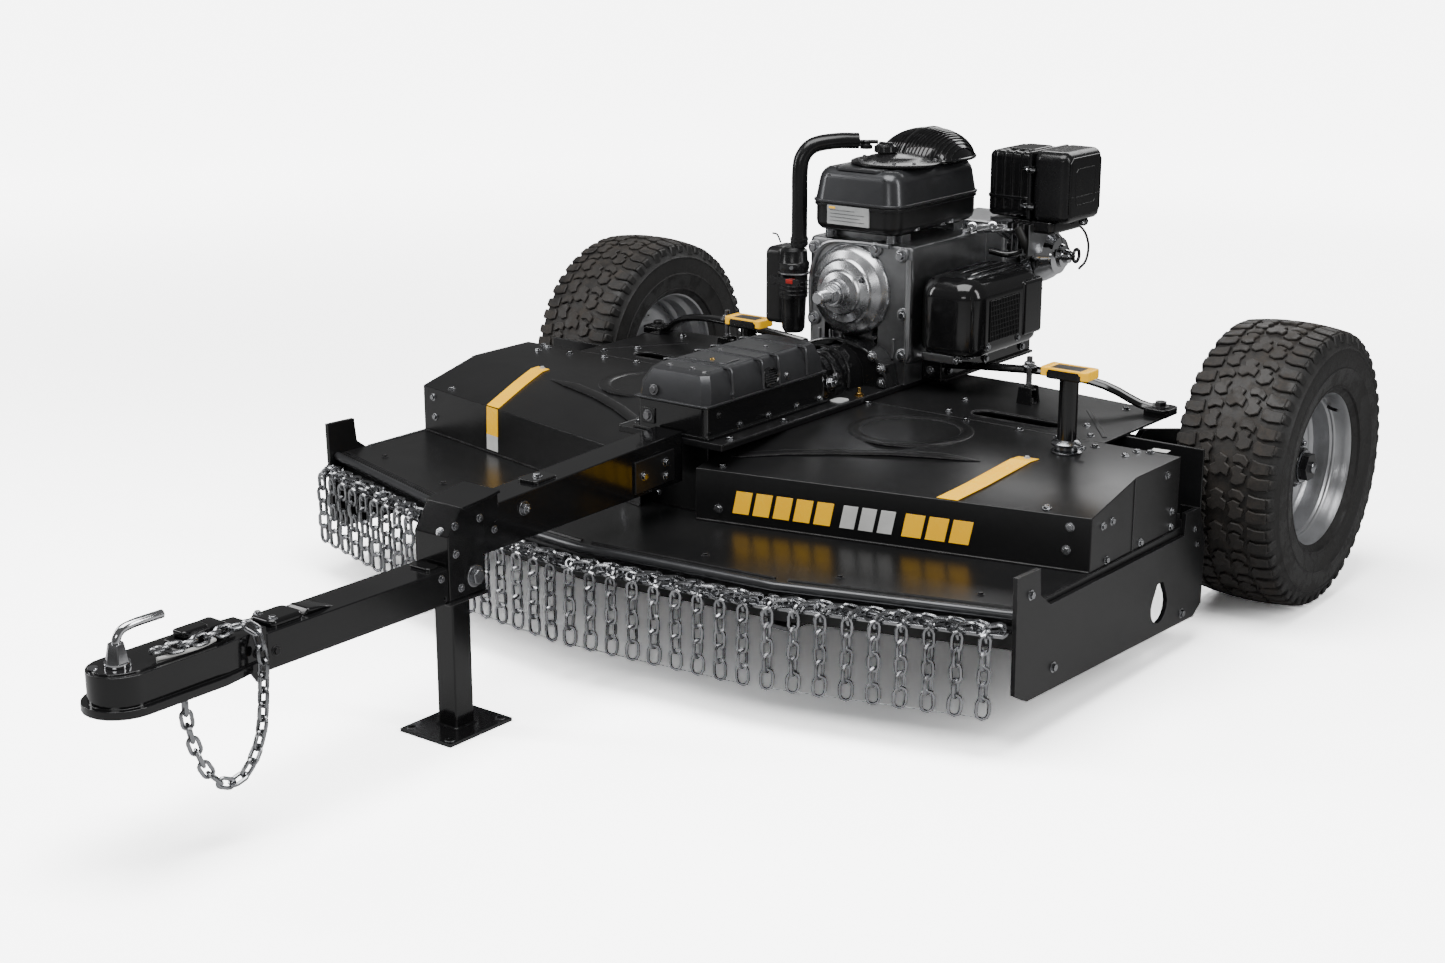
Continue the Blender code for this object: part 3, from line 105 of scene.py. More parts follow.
def make_camera():
    data = bpy.data.cameras.new("camera")
    data.lens = LENS
    data.clip_end = 200
    camera = bpy.data.objects.new("camera", data)
    bpy.context.scene.collection.objects.link(camera)
    back = Vector((sin(CAMERA_TURN) * cos(CAMERA_RISE),
                   -cos(CAMERA_TURN) * cos(CAMERA_RISE), sin(CAMERA_RISE)))
    camera.location = LOOK_AT + AXLE + back * CAMERA_AWAY
    camera.rotation_mode = "QUATERNION"
    camera.rotation_quaternion = (-back).to_track_quat("-Z", "Y")
    bpy.context.scene.camera = camera


make_camera()


# ---------------------------------------------------------------- shared shader groups

def new_group(name, inputs, outputs):
    """An empty shader group with number inputs and the outputs given as (name, socket type)."""
    tree = bpy.data.node_groups.new(name, "ShaderNodeTree")
    for label, value in inputs:
        socket = tree.interface.new_socket(label, in_out="INPUT", socket_type="NodeSocketFloat")
        socket.default_value = value
    for label, kind in outputs:
        tree.interface.new_socket(label, in_out="OUTPUT", socket_type=kind)
    return tree, tree.nodes.new("NodeGroupInput"), tree.nodes.new("NodeGroupOutput")


def wire(tree, start, end):
    tree.links.new(start, end)


def ranged(tree, value, low, high, out_low=0.0, out_high=1.0):
    """A number run from one range to another, smoothly and clamped."""
    node = tree.nodes.new("ShaderNodeMapRange")
    node.interpolation_type = "SMOOTHSTEP"
    wire(tree, value, node.inputs["Value"])
    for label, number in (("From Min", low), ("From Max", high), ("To Min", out_low), ("To Max", out_high)):
        if isinstance(number, (int, float)):
            node.inputs[label].default_value = number
        else:
            wire(tree, number, node.inputs[label])
    return node.outputs["Result"]


def sums(tree, operation, first, second):
    node = tree.nodes.new("ShaderNodeMath")
    node.operation = operation
    for socket, value in zip(node.inputs, (first, second)):
        if isinstance(value, (int, float)):
            socket.default_value = value
        else:
            wire(tree, value, socket)
    return node.outputs[0]


def noise_of(tree, scale, detail=3.0, rough=0.55):
    """Noise on the piece's own coordinates. scale is a number or a socket."""
    place = tree.nodes.new("ShaderNodeTexCoord")
    node = tree.nodes.new("ShaderNodeTexNoise")
    node.inputs["Detail"].default_value = detail
    node.inputs["Roughness"].default_value = rough
    wire(tree, place.outputs["Object"], node.inputs["Vector"])
    if isinstance(scale, (int, float)):
        node.inputs["Scale"].default_value = scale
    else:
        wire(tree, scale, node.inputs["Scale"])
    return node.outputs["Fac"]


def make_breakup():
    """Slow and fine changes over a coated surface: marbling, smears and grain."""
    tree, given, out = new_group("surface breakup", [("Broad Scale", 6), ("Grain Scale", 900)],
                                 [("Broad", "NodeSocketFloat"), ("Smear", "NodeSocketFloat"),
                                  ("Grain", "NodeSocketFloat")])
    broad = noise_of(tree, given.outputs["Broad Scale"], 4, 0.6)
    wire(tree, ranged(tree, broad, 0.3, 0.7), out.inputs["Broad"])
    smear = noise_of(tree, sums(tree, "MULTIPLY", given.outputs["Broad Scale"], 4.3), 6, 0.7)
    wire(tree, ranged(tree, smear, 0.45, 0.75), out.inputs["Smear"])
    grain = noise_of(tree, given.outputs["Grain Scale"], 2, 0.5)
    wire(tree, grain, out.inputs["Grain"])
    return tree


def make_worn_edge():
    """A mask along a piece's corners, broken up so that the wear comes and goes."""
    tree, given, out = new_group("worn edge", [("Width", 0.002), ("Amount", 0.5)],
                                 [("Mask", "NodeSocketFloat")])
    rounded = tree.nodes.new("ShaderNodeBevel")
    rounded.samples = 4
    wire(tree, given.outputs["Width"], rounded.inputs["Radius"])
    surface = tree.nodes.new("ShaderNodeNewGeometry")
    same = tree.nodes.new("ShaderNodeVectorMath")
    same.operation = "DOT_PRODUCT"
    wire(tree, rounded.outputs["Normal"], same.inputs[0])
    wire(tree, surface.outputs["Normal"], same.inputs[1])
    edge = ranged(tree, same.outputs["Value"], 0.99, 0.8)
    broken = ranged(tree, noise_of(tree, 55, 5, 0.7), 0.42, 0.62)
    mask = sums(tree, "MULTIPLY", edge, sums(tree, "ADD", sums(tree, "MULTIPLY", broken, 0.7), 0.3))
    wire(tree, sums(tree, "MULTIPLY", mask, given.outputs["Amount"]), out.inputs["Mask"])
    return tree


def make_dust():
    """A thin settled film on faces that look up."""
    tree, given, out = new_group("settled dust", [("Amount", 0.3)], [("Mask", "NodeSocketFloat")])
    surface = tree.nodes.new("ShaderNodeNewGeometry")
    split = tree.nodes.new("ShaderNodeSeparateXYZ")
    wire(tree, surface.outputs["Normal"], split.inputs["Vector"])
    up = ranged(tree, split.outputs["Z"], 0.35, 0.95)
    cloud = ranged(tree, noise_of(tree, 11, 6, 0.65), 0.35, 0.75)
    mask = sums(tree, "MULTIPLY", up, cloud)
    wire(tree, sums(tree, "MULTIPLY", mask, given.outputs["Amount"]), out.inputs["Mask"])
    return tree


BREAKUP = make_breakup()
WORN_EDGE = make_worn_edge()
DUST = make_dust()


# ---------------------------------------------------------------- finishes

def group_node(tree, group, **values):
    node = tree.nodes.new("ShaderNodeGroup")
    node.node_tree = group
    for label, value in values.items():
        node.inputs[label.replace("_", " ")].default_value = value
    return node


def blended(tree, factor, first, second):
    """First colour turning into the second by a mask. Colours are triples or sockets."""
    node = tree.nodes.new("ShaderNodeMix")
    node.data_type = "RGBA"
    wire(tree, factor, node.inputs["Factor"])
    for socket, colour in ((node.inputs[6], first), (node.inputs[7], second)):
        if isinstance(colour, (tuple, list)):
            socket.default_value = (*colour, 1)
        else:
            wire(tree, colour, socket)
    return node.outputs[2]


def bumped(tree, shader, height, strength, distance):
    node = tree.nodes.new("ShaderNodeBump")
    node.inputs["Strength"].default_value = strength
    node.inputs["Distance"].default_value = distance
    wire(tree, height, node.inputs["Height"])
    wire(tree, node.outputs["Normal"], shader.inputs["Normal"])


def finish(name, dark, light, rough, metallic=0.0, broad=6, grain=900, grain_depth=0.0,
           wear=0.0, wear_colour=(0.3, 0.3, 0.31), dust=0.0, coat=0.0, coat_rough=0.1, shine=0.5, painted_glow=0.0):
    """A coated, cast or moulded surface. rough is (smoothest, roughest)."""
    material = bpy.data.materials.new(name)
    material.use_nodes = True
    tree = material.node_tree
    shader = tree.nodes["Principled BSDF"]
    change = group_node(tree, BREAKUP, Broad_Scale=broad, Grain_Scale=grain)
    colour = blended(tree, change.outputs["Broad"], dark, light)
    roughness = ranged(tree, change.outputs["Smear"], 0, 1, *rough)
    if dust:
        film = group_node(tree, DUST, Amount=dust)
        colour = blended(tree, film.outputs["Mask"], colour, (0.16, 0.15, 0.14))
        roughness = sums(tree, "ADD", roughness, sums(tree, "MULTIPLY", film.outputs["Mask"], 0.25))
    if wear:
        edge = group_node(tree, WORN_EDGE, Width=0.0018, Amount=wear)
        colour = blended(tree, edge.outputs["Mask"], colour, wear_colour)
    wire(tree, colour, shader.inputs["Base Color"])
    wire(tree, roughness, shader.inputs["Roughness"])
    shader.inputs["Metallic"].default_value = metallic
    shader.inputs["Coat Weight"].default_value = coat
    shader.inputs["Coat Roughness"].default_value = coat_rough
    shader.inputs["Specular IOR Level"].default_value = shine
    # Painted glow: emission in the surface's light colour makes it shine as if lit, though it is no lamp.
    if painted_glow:
        shader.inputs["Emission Color"].default_value = (*light, 1)
        shader.inputs["Emission Strength"].default_value = painted_glow
    if grain_depth:
        bumped(tree, shader, change.outputs["Grain"], 0.6, grain_depth)
    return material


def make_tyre_rubber():
    """Dark sidewall rubber that turns brown and dusty on the tread, with fine cuts and grain."""
    material = bpy.data.materials.new("tyre")
    material.use_nodes = True
    tree = material.node_tree
    shader = tree.nodes["Principled BSDF"]
    place = tree.nodes.new("ShaderNodeTexCoord")
    centre = tree.nodes.new("ShaderNodeMapping")
    centre.inputs["Location"].default_value = (0, -AXLE.y, -WHEEL_Z)
    centre.inputs["Scale"].default_value = (0, 1, 1)
    wire(tree, place.outputs["Object"], centre.inputs["Vector"])
    away = tree.nodes.new("ShaderNodeVectorMath")
    away.operation = "LENGTH"
    wire(tree, centre.outputs["Vector"], away.inputs[0])
    tread = ranged(tree, away.outputs["Value"], 0.243, 0.256)
    top = ranged(tree, away.outputs["Value"], 0.2555, 0.2595)
    cloud = ranged(tree, noise_of(tree, 26, 6, 0.7), 0.4, 0.66)
    base = blended(tree, cloud, (0.0095, 0.0092, 0.009), (0.018, 0.0172, 0.0165))
    soil = blended(tree, cloud, (0.02, 0.016, 0.013), (0.048, 0.038, 0.03))
    dusty = sums(tree, "MULTIPLY", tread, ranged(tree, noise_of(tree, 75, 6, 0.75), 0.36, 0.62, 0.15, 0.85))
    colour = blended(tree, dusty, base, soil)
    rubbed = sums(tree, "MULTIPLY", top, 0.55)
    colour = blended(tree, rubbed, colour, (0.034, 0.03, 0.027))
    wire(tree, colour, shader.inputs["Base Color"])
    wire(tree, ranged(tree, cloud, 0, 1, 0.52, 0.82), shader.inputs["Roughness"])
    fine = noise_of(tree, 420, 4, 0.7)
    bumped(tree, shader, fine, 0.5, 0.0009)
    return material


SATIN_BLACK = finish("satin_black", (0.006, 0.006, 0.0064), (0.0085, 0.0085, 0.009), (0.285, 0.32), broad=3,
                     grain=1400, grain_depth=0.00006, wear=0.3, dust=0.015, shine=0.42)
GLOSS_BLACK = finish("gloss_black", (0.0045, 0.0045, 0.0048), (0.007, 0.007, 0.0074), (0.13, 0.17), broad=4,
                     grain=500, grain_depth=0.00003, wear=0.22, wear_colour=(0.14, 0.14, 0.145), coat=0.2,
                     coat_rough=0.08, shine=0.42)
GRAPHITE = finish("graphite", (0.046, 0.047, 0.05), (0.062, 0.063, 0.067), (0.28, 0.33), metallic=0.6,
                  broad=7, grain=2200, wear=0.18, wear_colour=(0.2, 0.2, 0.21), coat=0.25, coat_rough=0.2)
BLACK_PLASTIC = finish("black_plastic", (0.0055, 0.0055, 0.006), (0.009, 0.009, 0.0095), (0.22, 0.32),
                       broad=9, grain=1700, grain_depth=0.00008, wear=0.15, wear_colour=(0.04, 0.04, 0.042),
                       shine=0.42)
CAST_ALUMINIUM = finish("cast_aluminium", (0.27, 0.273, 0.28), (0.38, 0.385, 0.395), (0.3, 0.4),
                        metallic=1.0, broad=9, grain=900, grain_depth=0.00016, wear=0.35,
                        wear_colour=(0.6, 0.61, 0.63))
MACHINED = finish("machined_aluminium", (0.44, 0.445, 0.455), (0.54, 0.545, 0.56), (0.27, 0.31),
                  metallic=1.0, broad=8, grain=1500, grain_depth=0.00003)
CHROME = finish("chrome", (0.5, 0.505, 0.52), (0.64, 0.645, 0.66), (0.06, 0.13), metallic=1.0, broad=9,
                grain=600, grain_depth=0.00005)
ZINC = finish("zinc", (0.26, 0.265, 0.275), (0.4, 0.405, 0.42), (0.17, 0.28), metallic=1.0, broad=22,
              grain=1300, grain_depth=0.0002, wear=0.4, wear_colour=(0.7, 0.7, 0.71))
STEEL = finish("steel", (0.16, 0.16, 0.165), (0.27, 0.27, 0.28), (0.3, 0.5), metallic=1.0, broad=12,
               grain=900, grain_depth=0.0004, wear=0.5, wear_colour=(0.6, 0.6, 0.61))
RUBBER = finish("rubber", (0.01, 0.0098, 0.0095), (0.017, 0.0165, 0.016), (0.38, 0.58), broad=14,
                grain=1200, grain_depth=0.0003, dust=0.08)
TYRE = make_tyre_rubber()
SILVER = finish("silver_rim", (0.4, 0.405, 0.415), (0.5, 0.505, 0.52), (0.3, 0.44), metallic=0.75, broad=10,
                grain=1800, grain_depth=0.00015, wear=0.3, wear_colour=(0.75, 0.75, 0.76), coat=0.25,
                coat_rough=0.2)
# The yellow and white films carry a painted glow (emission), so they look brighter than the lamps light
# them.
YELLOW = finish("yellow", (0.96, 0.48, 0.001), (1.0, 0.54, 0.002), (0.26, 0.36), broad=18, grain=1500,
                grain_depth=0.00006, wear=0.3, wear_colour=(0.45, 0.24, 0.02), painted_glow=0.42)
WHITE = finish("white_film", (0.62, 0.62, 0.6), (0.76, 0.76, 0.745), (0.3, 0.44), broad=20, grain=1500,
               grain_depth=0.0001, wear=0.3, wear_colour=(0.3, 0.3, 0.3), painted_glow=0.12)
PALE = finish("pale_film", (0.36, 0.37, 0.37), (0.5, 0.505, 0.5), (0.28, 0.44), broad=26, grain=1200,
              grain_depth=0.0001)
BRASS = finish("brass", (0.42, 0.26, 0.07), (0.6, 0.38, 0.12), (0.22, 0.4), metallic=1.0, broad=30,
               grain=1200, grain_depth=0.0003)
RED = finish("red", (0.3, 0.008, 0.005), (0.42, 0.014, 0.008), (0.28, 0.42), broad=20, grain=1500,
             grain_depth=0.0002)


# ---------------------------------------------------------------- shapes

def corner_edges(shape, degrees):
    """Edges between faces that meet at more than this angle."""
    limit = radians(degrees)
    return [e for e in shape.edges if len(e.link_faces) == 2 and e.calc_face_angle(0) > limit]


def soften(shape, edges, by, steps=2):
    bmesh.ops.bevel(shape, geom=list(edges), offset=by, offset_type="OFFSET", segments=steps, profile=0.5,
                    affect="EDGES", clamp_overlap=True, material=-1)


def block(low, high, by=0.0015, steps=2):
    """A box with rounded edges."""
    low, high = Vector(low), Vector(high)
    shape = bmesh.new()
    bmesh.ops.create_cube(shape, size=1)
    bmesh.ops.scale(shape, vec=high - low, verts=shape.verts)
    bmesh.ops.translate(shape, vec=(low + high) / 2, verts=shape.verts)
    if by:
        soften(shape, shape.edges, by, steps)
    return shape


def upright(edge):
    run = edge.verts[0].co - edge.verts[1].co
    return abs(run.z) > 0.9 * run.length


def pillow(low, high, corner, top, bottom, steps=5):
    """A pressed can: upright corners rounded, then its top edge, then its bottom edge."""
    shape = block(low, high, 0)
    soften(shape, [e for e in shape.edges if upright(e)], corner, steps)
    if top:
        soften(shape, [e for e in shape.edges if all(abs(v.co.z - high[2]) < 1e-6 for v in e.verts)], top,
               4)
    if bottom:
        soften(shape, [e for e in shape.edges if all(abs(v.co.z - low[2]) < 1e-6 for v in e.verts)], bottom,
               3)
    return shape


def prism(outline, axis, start, end, by=0.0, steps=2):
    """A flat outline pushed out along an axis. Its two numbers are the other two axes, in order."""
    shape = bmesh.new()
    across = [i for i in range(3) if i != ALONG[axis]]
    verts = []
    for first, second in outline:
        place = Vector()
        place[ALONG[axis]] = start
        place[across[0]] = first
        place[across[1]] = second
        verts.append(shape.verts.new(place))
    made = bmesh.ops.extrude_face_region(shape, geom=[shape.faces.new(verts)])
    push = Vector()
    push[ALONG[axis]] = end - start
    bmesh.ops.translate(shape, vec=push,
                        verts=[v for v in made["geom"] if isinstance(v, bmesh.types.BMVert)])
    bmesh.ops.recalc_face_normals(shape, faces=shape.faces)
    if by:
        soften(shape, corner_edges(shape, 30), by, steps)
    return shape


TURN_TO = {"x": Matrix.Rotation(pi / 2, 4, "Y"), "y": Matrix.Rotation(-pi / 2, 4, "X"),
           "z": Matrix.Identity(4)}


def turned(profile, axis="z", at=(0, 0, 0), steps=32, ring=False):
    """A profile of (radius, height) points spun round an axis. A ring's profile closes on itself."""
    shape = bmesh.new()
    verts = [shape.verts.new((radius, 0, height)) for radius, height in profile]
    edges = [shape.edges.new(pair) for pair in zip(verts, verts[1:])]
    if ring:
        edges.append(shape.edges.new((verts[-1], verts[0])))
    bmesh.ops.spin(shape, geom=verts + edges, cent=(0, 0, 0), axis=(0, 0, 1), angle=2 * pi, steps=steps,
                   use_merge=True, use_duplicate=False)
    bmesh.ops.remove_doubles(shape, verts=shape.verts, dist=1e-6)
    bmesh.ops.recalc_face_normals(shape, faces=shape.faces)
    bmesh.ops.transform(shape, matrix=Matrix.Translation(at) @ TURN_TO[axis], verts=shape.verts)
    return shape


def rod(start, end, radius, sides=16, by=0.0):
    """A round bar between two points, with its rims taken off."""
    start, end = Vector(start), Vector(end)
    shape = bmesh.new()
    length = (end - start).length
    bmesh.ops.create_cone(shape, cap_ends=True, segments=sides, radius1=radius, radius2=radius,
                          depth=length)
    if by:
        soften(shape, corner_edges(shape, 50), by, 2)
    turn = (end - start).to_track_quat("Z", "Y").to_matrix().to_4x4()
    bmesh.ops.transform(shape, matrix=Matrix.Translation((start + end) / 2) @ turn, verts=shape.verts)
    return shape


def angles_round(count):
    """Angles spaced evenly round a circle."""
    return [2 * pi * k / count for k in range(count)]


def smooth_line(points, steps=4):
    """Points on a smooth curve through the given ones."""
    points = [Vector(p) for p in points]
    ends = [2 * points[0] - points[1], *points, 2 * points[-1] - points[-2]]
    line = []
    for a, b, c, d in zip(ends, ends[1:], ends[2:], ends[3:]):
        for k in range(steps):
            t = k / steps
            line.append(0.5 * (2 * b + (c - a) * t + (2 * a - 5 * b + 4 * c - d) * t ** 2
                               + (3 * b - a - 3 * c + d) * t ** 3))
    return line + [points[-1]]


def swept(path, radius, sides=10, closed=False, flat=1.0):
    """A bar along a path. flat thins its section one way; a closed path joins its own start."""
    points = [Vector(p) for p in path]
    count = len(points)
    radii = list(radius) if isinstance(radius, (list, tuple)) else [radius] * count
    tangents = []
    for i in range(count):
        before = points[i - 1] if closed or i else points[0]
        after = points[(i + 1) % count] if closed or i < count - 1 else points[-1]
        tangents.append((after - before).normalized())
    shape = bmesh.new()
    turn = tangents[0].to_track_quat("Z", "Y")
    ring = bmesh.ops.create_circle(shape, cap_ends=False, segments=sides, radius=1)["verts"]
    station = None
    first = loop = list(shape.edges)
    for i in range(count):
        if i:
            turn = tangents[i - 1].rotation_difference(tangents[i]) @ turn
            made = bmesh.ops.extrude_edge_only(shape, edges=loop)["geom"]
            ring = [v for v in made if isinstance(v, bmesh.types.BMVert)]
            fresh = set(ring)
            loop = [e for e in made if isinstance(e, bmesh.types.BMEdge) and set(e.verts) <= fresh]
        place = (Matrix.Translation(points[i]) @ turn.to_matrix().to_4x4()
                 @ Matrix.Diagonal((radii[i], radii[i] * flat, 1, 1)))
        move = place if station is None else place @ station.inverted()
        bmesh.ops.transform(shape, matrix=move, verts=ring)
        station = place
    if closed:
        bmesh.ops.bridge_loops(shape, edges=first + loop)
    else:
        bmesh.ops.edgeloop_fill(shape, edges=first)
        bmesh.ops.edgeloop_fill(shape, edges=loop)
    bmesh.ops.recalc_face_normals(shape, faces=shape.faces)
    return shape


def ribbon(points, across, thick):
    """A flat strip through points, with a constant vector across it."""
    across = Vector(across) / 2
    shape = bmesh.new()
    edge = shape.edges.new([shape.verts.new(Vector(points[0]) - across),
                            shape.verts.new(Vector(points[0]) + across)])
    for before, after in zip(points, points[1:]):
        made = bmesh.ops.extrude_edge_only(shape, edges=[edge])["geom"]
        fresh = [v for v in made if isinstance(v, bmesh.types.BMVert)]
        edge = next(e for e in made if isinstance(e, bmesh.types.BMEdge) and set(e.verts) <= set(fresh))
        bmesh.ops.translate(shape, vec=Vector(after) - Vector(before), verts=fresh)
    bmesh.ops.recalc_face_normals(shape, faces=shape.faces)
    bmesh.ops.solidify(shape, geom=shape.faces[:], thickness=thick)
    bmesh.ops.recalc_face_normals(shape, faces=shape.faces)
    return shape


def solid_copy(node, by=0.0, steps=2, corner=32):
    """A merged copy of a plain solid, from the axle line, with its corners rounded."""
    shape = bmesh.new()
    shape.from_mesh(frame["nodes"][node].data)
    bmesh.ops.remove_doubles(shape, verts=shape.verts, dist=2e-5)
    bmesh.ops.translate(shape, vec=-AXLE, verts=shape.verts)
    bmesh.ops.dissolve_limit(shape, angle_limit=radians(1.5), verts=shape.verts, edges=shape.edges)
    if by:
        soften(shape, corner_edges(shape, corner), by, steps)
    return shape


def facing(out, at=(0, 0, 0), spin=0.0):
    """A placing whose own Z looks along out."""
    turn = Vector(out).to_track_quat("Z", "Y").to_matrix().to_4x4()
    return Matrix.Translation(at) @ turn @ Matrix.Rotation(spin, 4, "Z")


class Piece:
    """One visible piece: shapes go in with their finishes, and done() makes the object."""

    def __init__(self, name, body, *stands_for):
        self.name = name
        self.body = body
        self.stands_for = stands_for
        self.work = bmesh.new()
        self.finishes = []

    def add(self, shape, finish_with, place=None):
        if finish_with not in self.finishes:
            self.finishes.append(finish_with)
        index = self.finishes.index(finish_with)
        for face in shape.faces:
            face.material_index = index
        if place is not None:
            bmesh.ops.transform(shape, matrix=place, verts=shape.verts)
        mesh = bpy.data.meshes.new("shape")
        shape.to_mesh(mesh)
        shape.free()
        self.work.from_mesh(mesh)
        bpy.data.meshes.remove(mesh)
        return self

    def copies(self, shape, finish_with, places):
        """The same shape put in many places."""
        master = bpy.data.meshes.new("master")
        shape.to_mesh(master)
        shape.free()
        for place in places:
            again = bmesh.new()
            again.from_mesh(master)
            self.add(again, finish_with, place)
        bpy.data.meshes.remove(master)
        return self

    def bolt(self, at, out, size=0.008, finish_with=None, washer=True, stud=0.0, spin=0.3):
        """A hexagon head with its corners taken off, on a washer. size is half across corners."""
        finish_with = finish_with or ZINC
        head = bmesh.new()
        tall = size * 0.72
        bmesh.ops.create_cone(head, cap_ends=True, segments=6, radius1=size, radius2=size, depth=tall)
        rim = [e for e in head.edges if all(v.co.z > 0 for v in e.verts)]
        soften(head, rim, size * 0.12, 2)
        lift = size * 0.18 if washer else 0
        self.add(head, finish_with, facing(out, at, spin) @ Matrix.Translation((0, 0, tall / 2 + lift)))
        if washer:
            ring = turned([(0, 0), (size * 1.42, 0), (size * 1.42, size * 0.14), (size * 1.3, size * 0.2),
                           (0, size * 0.2)], steps=20)
            self.add(ring, finish_with, facing(out, at))
        if stud:
            end = turned([(0, 0), (size * 0.5, 0), (size * 0.5, stud - size * 0.1), (size * 0.4, stud),
                          (0, stud)], steps=12)
            self.add(end, finish_with, facing(out, at))
        return self

    def done(self, smooth=34, weighted=True):
        bmesh.ops.translate(self.work, vec=AXLE, verts=self.work.verts)
        mesh = bpy.data.meshes.new(self.name)
        self.work.to_mesh(mesh)
        self.work.free()
        for finish_with in self.finishes:
            mesh.materials.append(finish_with)
        mesh.shade_smooth()
        mesh.set_sharp_from_angle(angle=radians(smooth))
        piece = bpy.data.objects.new(self.name, mesh)
        bpy.context.scene.collection.objects.link(piece)
        if weighted:
            piece.modifiers.new("even faces", "WEIGHTED_NORMAL").keep_sharp = True
        if self.stands_for:
            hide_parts(*self.stands_for)
        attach(piece, self.body)
        return piece


def stand_in(node, finish_with, by=0.0015, steps=2, corner=32):
    """Starts a piece from a solid's own shape, on that solid's body."""
    piece = Piece(node + "_look", BODY_OF[node], node)
    piece.add(solid_copy(node, by, steps, corner), finish_with)
    return piece


# ---------------------------------------------------------------- chains

def link_shape(long, wide, wire_size, sides=6, arc=4):
    """One oval link, standing in the XZ plane with its long way up."""
    reach = (wide - wire_size) / 2
    straight = (long - wide) / 2
    path = []
    for side in (1, -1):
        for k in range(arc + 1):
            angle = pi * k / arc
            path.append((side * reach * cos(angle), 0, side * (straight + reach * sin(angle))))
    return swept(path, wire_size / 2, sides, closed=True)


SAFETY_CHAIN = [(0.0235, -1.965, 0.306), (0.032, -1.925, 0.3035), (0.033, -1.88, 0.3035),
                (0.033, -1.84, 0.304), (0.046, -1.814, 0.3), (0.058, -1.81, 0.268), (0.06, -1.812, 0.22),
                (0.06, -1.822, 0.15), (0.057, -1.846, 0.104), (0.053, -1.878, 0.092),
                (0.048, -1.908, 0.118), (0.044, -1.926, 0.165), (0.042, -1.933, 0.205),
                (0.042, -1.934, 0.2325)]
LINK_LONG = 0.033
LINK_WIRE = 0.006


def spaced(line, pitch):
    """Places every pitch along a line, each with the direction there."""
    places = []
    wanted = pitch / 2
    gone = 0.0
    for start, end in zip(line, line[1:]):
        run = (end - start).length
        while gone + run >= wanted:
            places.append((start + (end - start) * ((wanted - gone) / run), (end - start).normalized()))
            wanted += pitch
        gone += run
    return places


def make_safety_chain():
    line = smooth_line(SAFETY_CHAIN, 12)
    length = sum((b - a).length for a, b in zip(line, line[1:]))
    count = round(length / (LINK_LONG - 2 * LINK_WIRE))
    places = []
    turn = None
    last = None
    for i, (at, along) in enumerate(spaced(line, length / count)):
        turn = along.to_track_quat("Z", "Y") if turn is None else last.rotation_difference(along) @ turn
        last = along
        roll = radians(45 if i % 2 else -45)
        places.append(Matrix.Translation(at) @ turn.to_matrix().to_4x4() @ Matrix.Rotation(roll, 4, "Z"))
    chain = Piece("safety_chain_links", "frame", "safety_chain")
    chain.copies(link_shape(LINK_LONG, 0.0205, LINK_WIRE, 8, 6), ZINC, places)
    made = chain.done(weighted=False)


make_safety_chain()

# Front lip, as four straight runs between five bends
LIP_HALF = 0.7497
LIP_END_Y = -0.93
LIP_BOW = 0.15
RAIL_TOP = box_of("curtain_rail")[1].z
CURTAIN_AHEAD = -0.052
STRANDS = 9
CURTAINS = ("curtain_left", "curtain_centre_left", "curtain_centre_right", "curtain_right")


def bow_point(run, share, offset, height):
    """A point on the bowed lip: run 0 to 3 from the left, share of the way along it."""
    ends = []
    for s in (-1 + run / 2, -0.5 + run / 2):
        ends.append(Vector((s * LIP_HALF, LIP_END_Y + offset - LIP_BOW * (1 - s * s), height)))
    return ends[0].lerp(ends[1], share)


def make_curtains():
    """Hanging strands in four panels, a thin wire through each panel's last links."""
    pitch = 0.0252
    for run, node in enumerate(CURTAINS):
        panel = Piece(node + "_links", BODY_OF[node], node)
        along = bow_point(run, 1, 0, 0) - bow_point(run, 0, 0, 0)
        heading = atan2(along.y, along.x)
        plain, large, low = [], [], []
        for k in range(STRANDS):
            share = (k + 0.5) / STRANDS
            at = bow_point(run, share, CURTAIN_AHEAD, 0)
            for level in range(5):
                height = RAIL_TOP + 0.0035 - 0.018 - level * pitch - (0.002 if level == 4 else 0)
                turn = heading + radians(18 if level % 2 == 0 else 72) + radians(SPREAD.uniform(-10, 10))
                lean = Matrix.Rotation(radians(SPREAD.uniform(-4, 4)), 4, "Y")
                place = Matrix.Translation((at.x, at.y, height)) @ Matrix.Rotation(turn, 4, "Z") @ lean
                (large if level == 4 else plain).append(place)
            low.append(Vector((at.x, at.y, height - 0.015)))
        panel.copies(link_shape(0.037, 0.022, 0.0067), ZINC, plain)
        panel.copies(link_shape(0.041, 0.026, 0.0067), ZINC, large)
        panel.add(swept(low, 0.0011, 6), ZINC)
        panel.done(weighted=False)


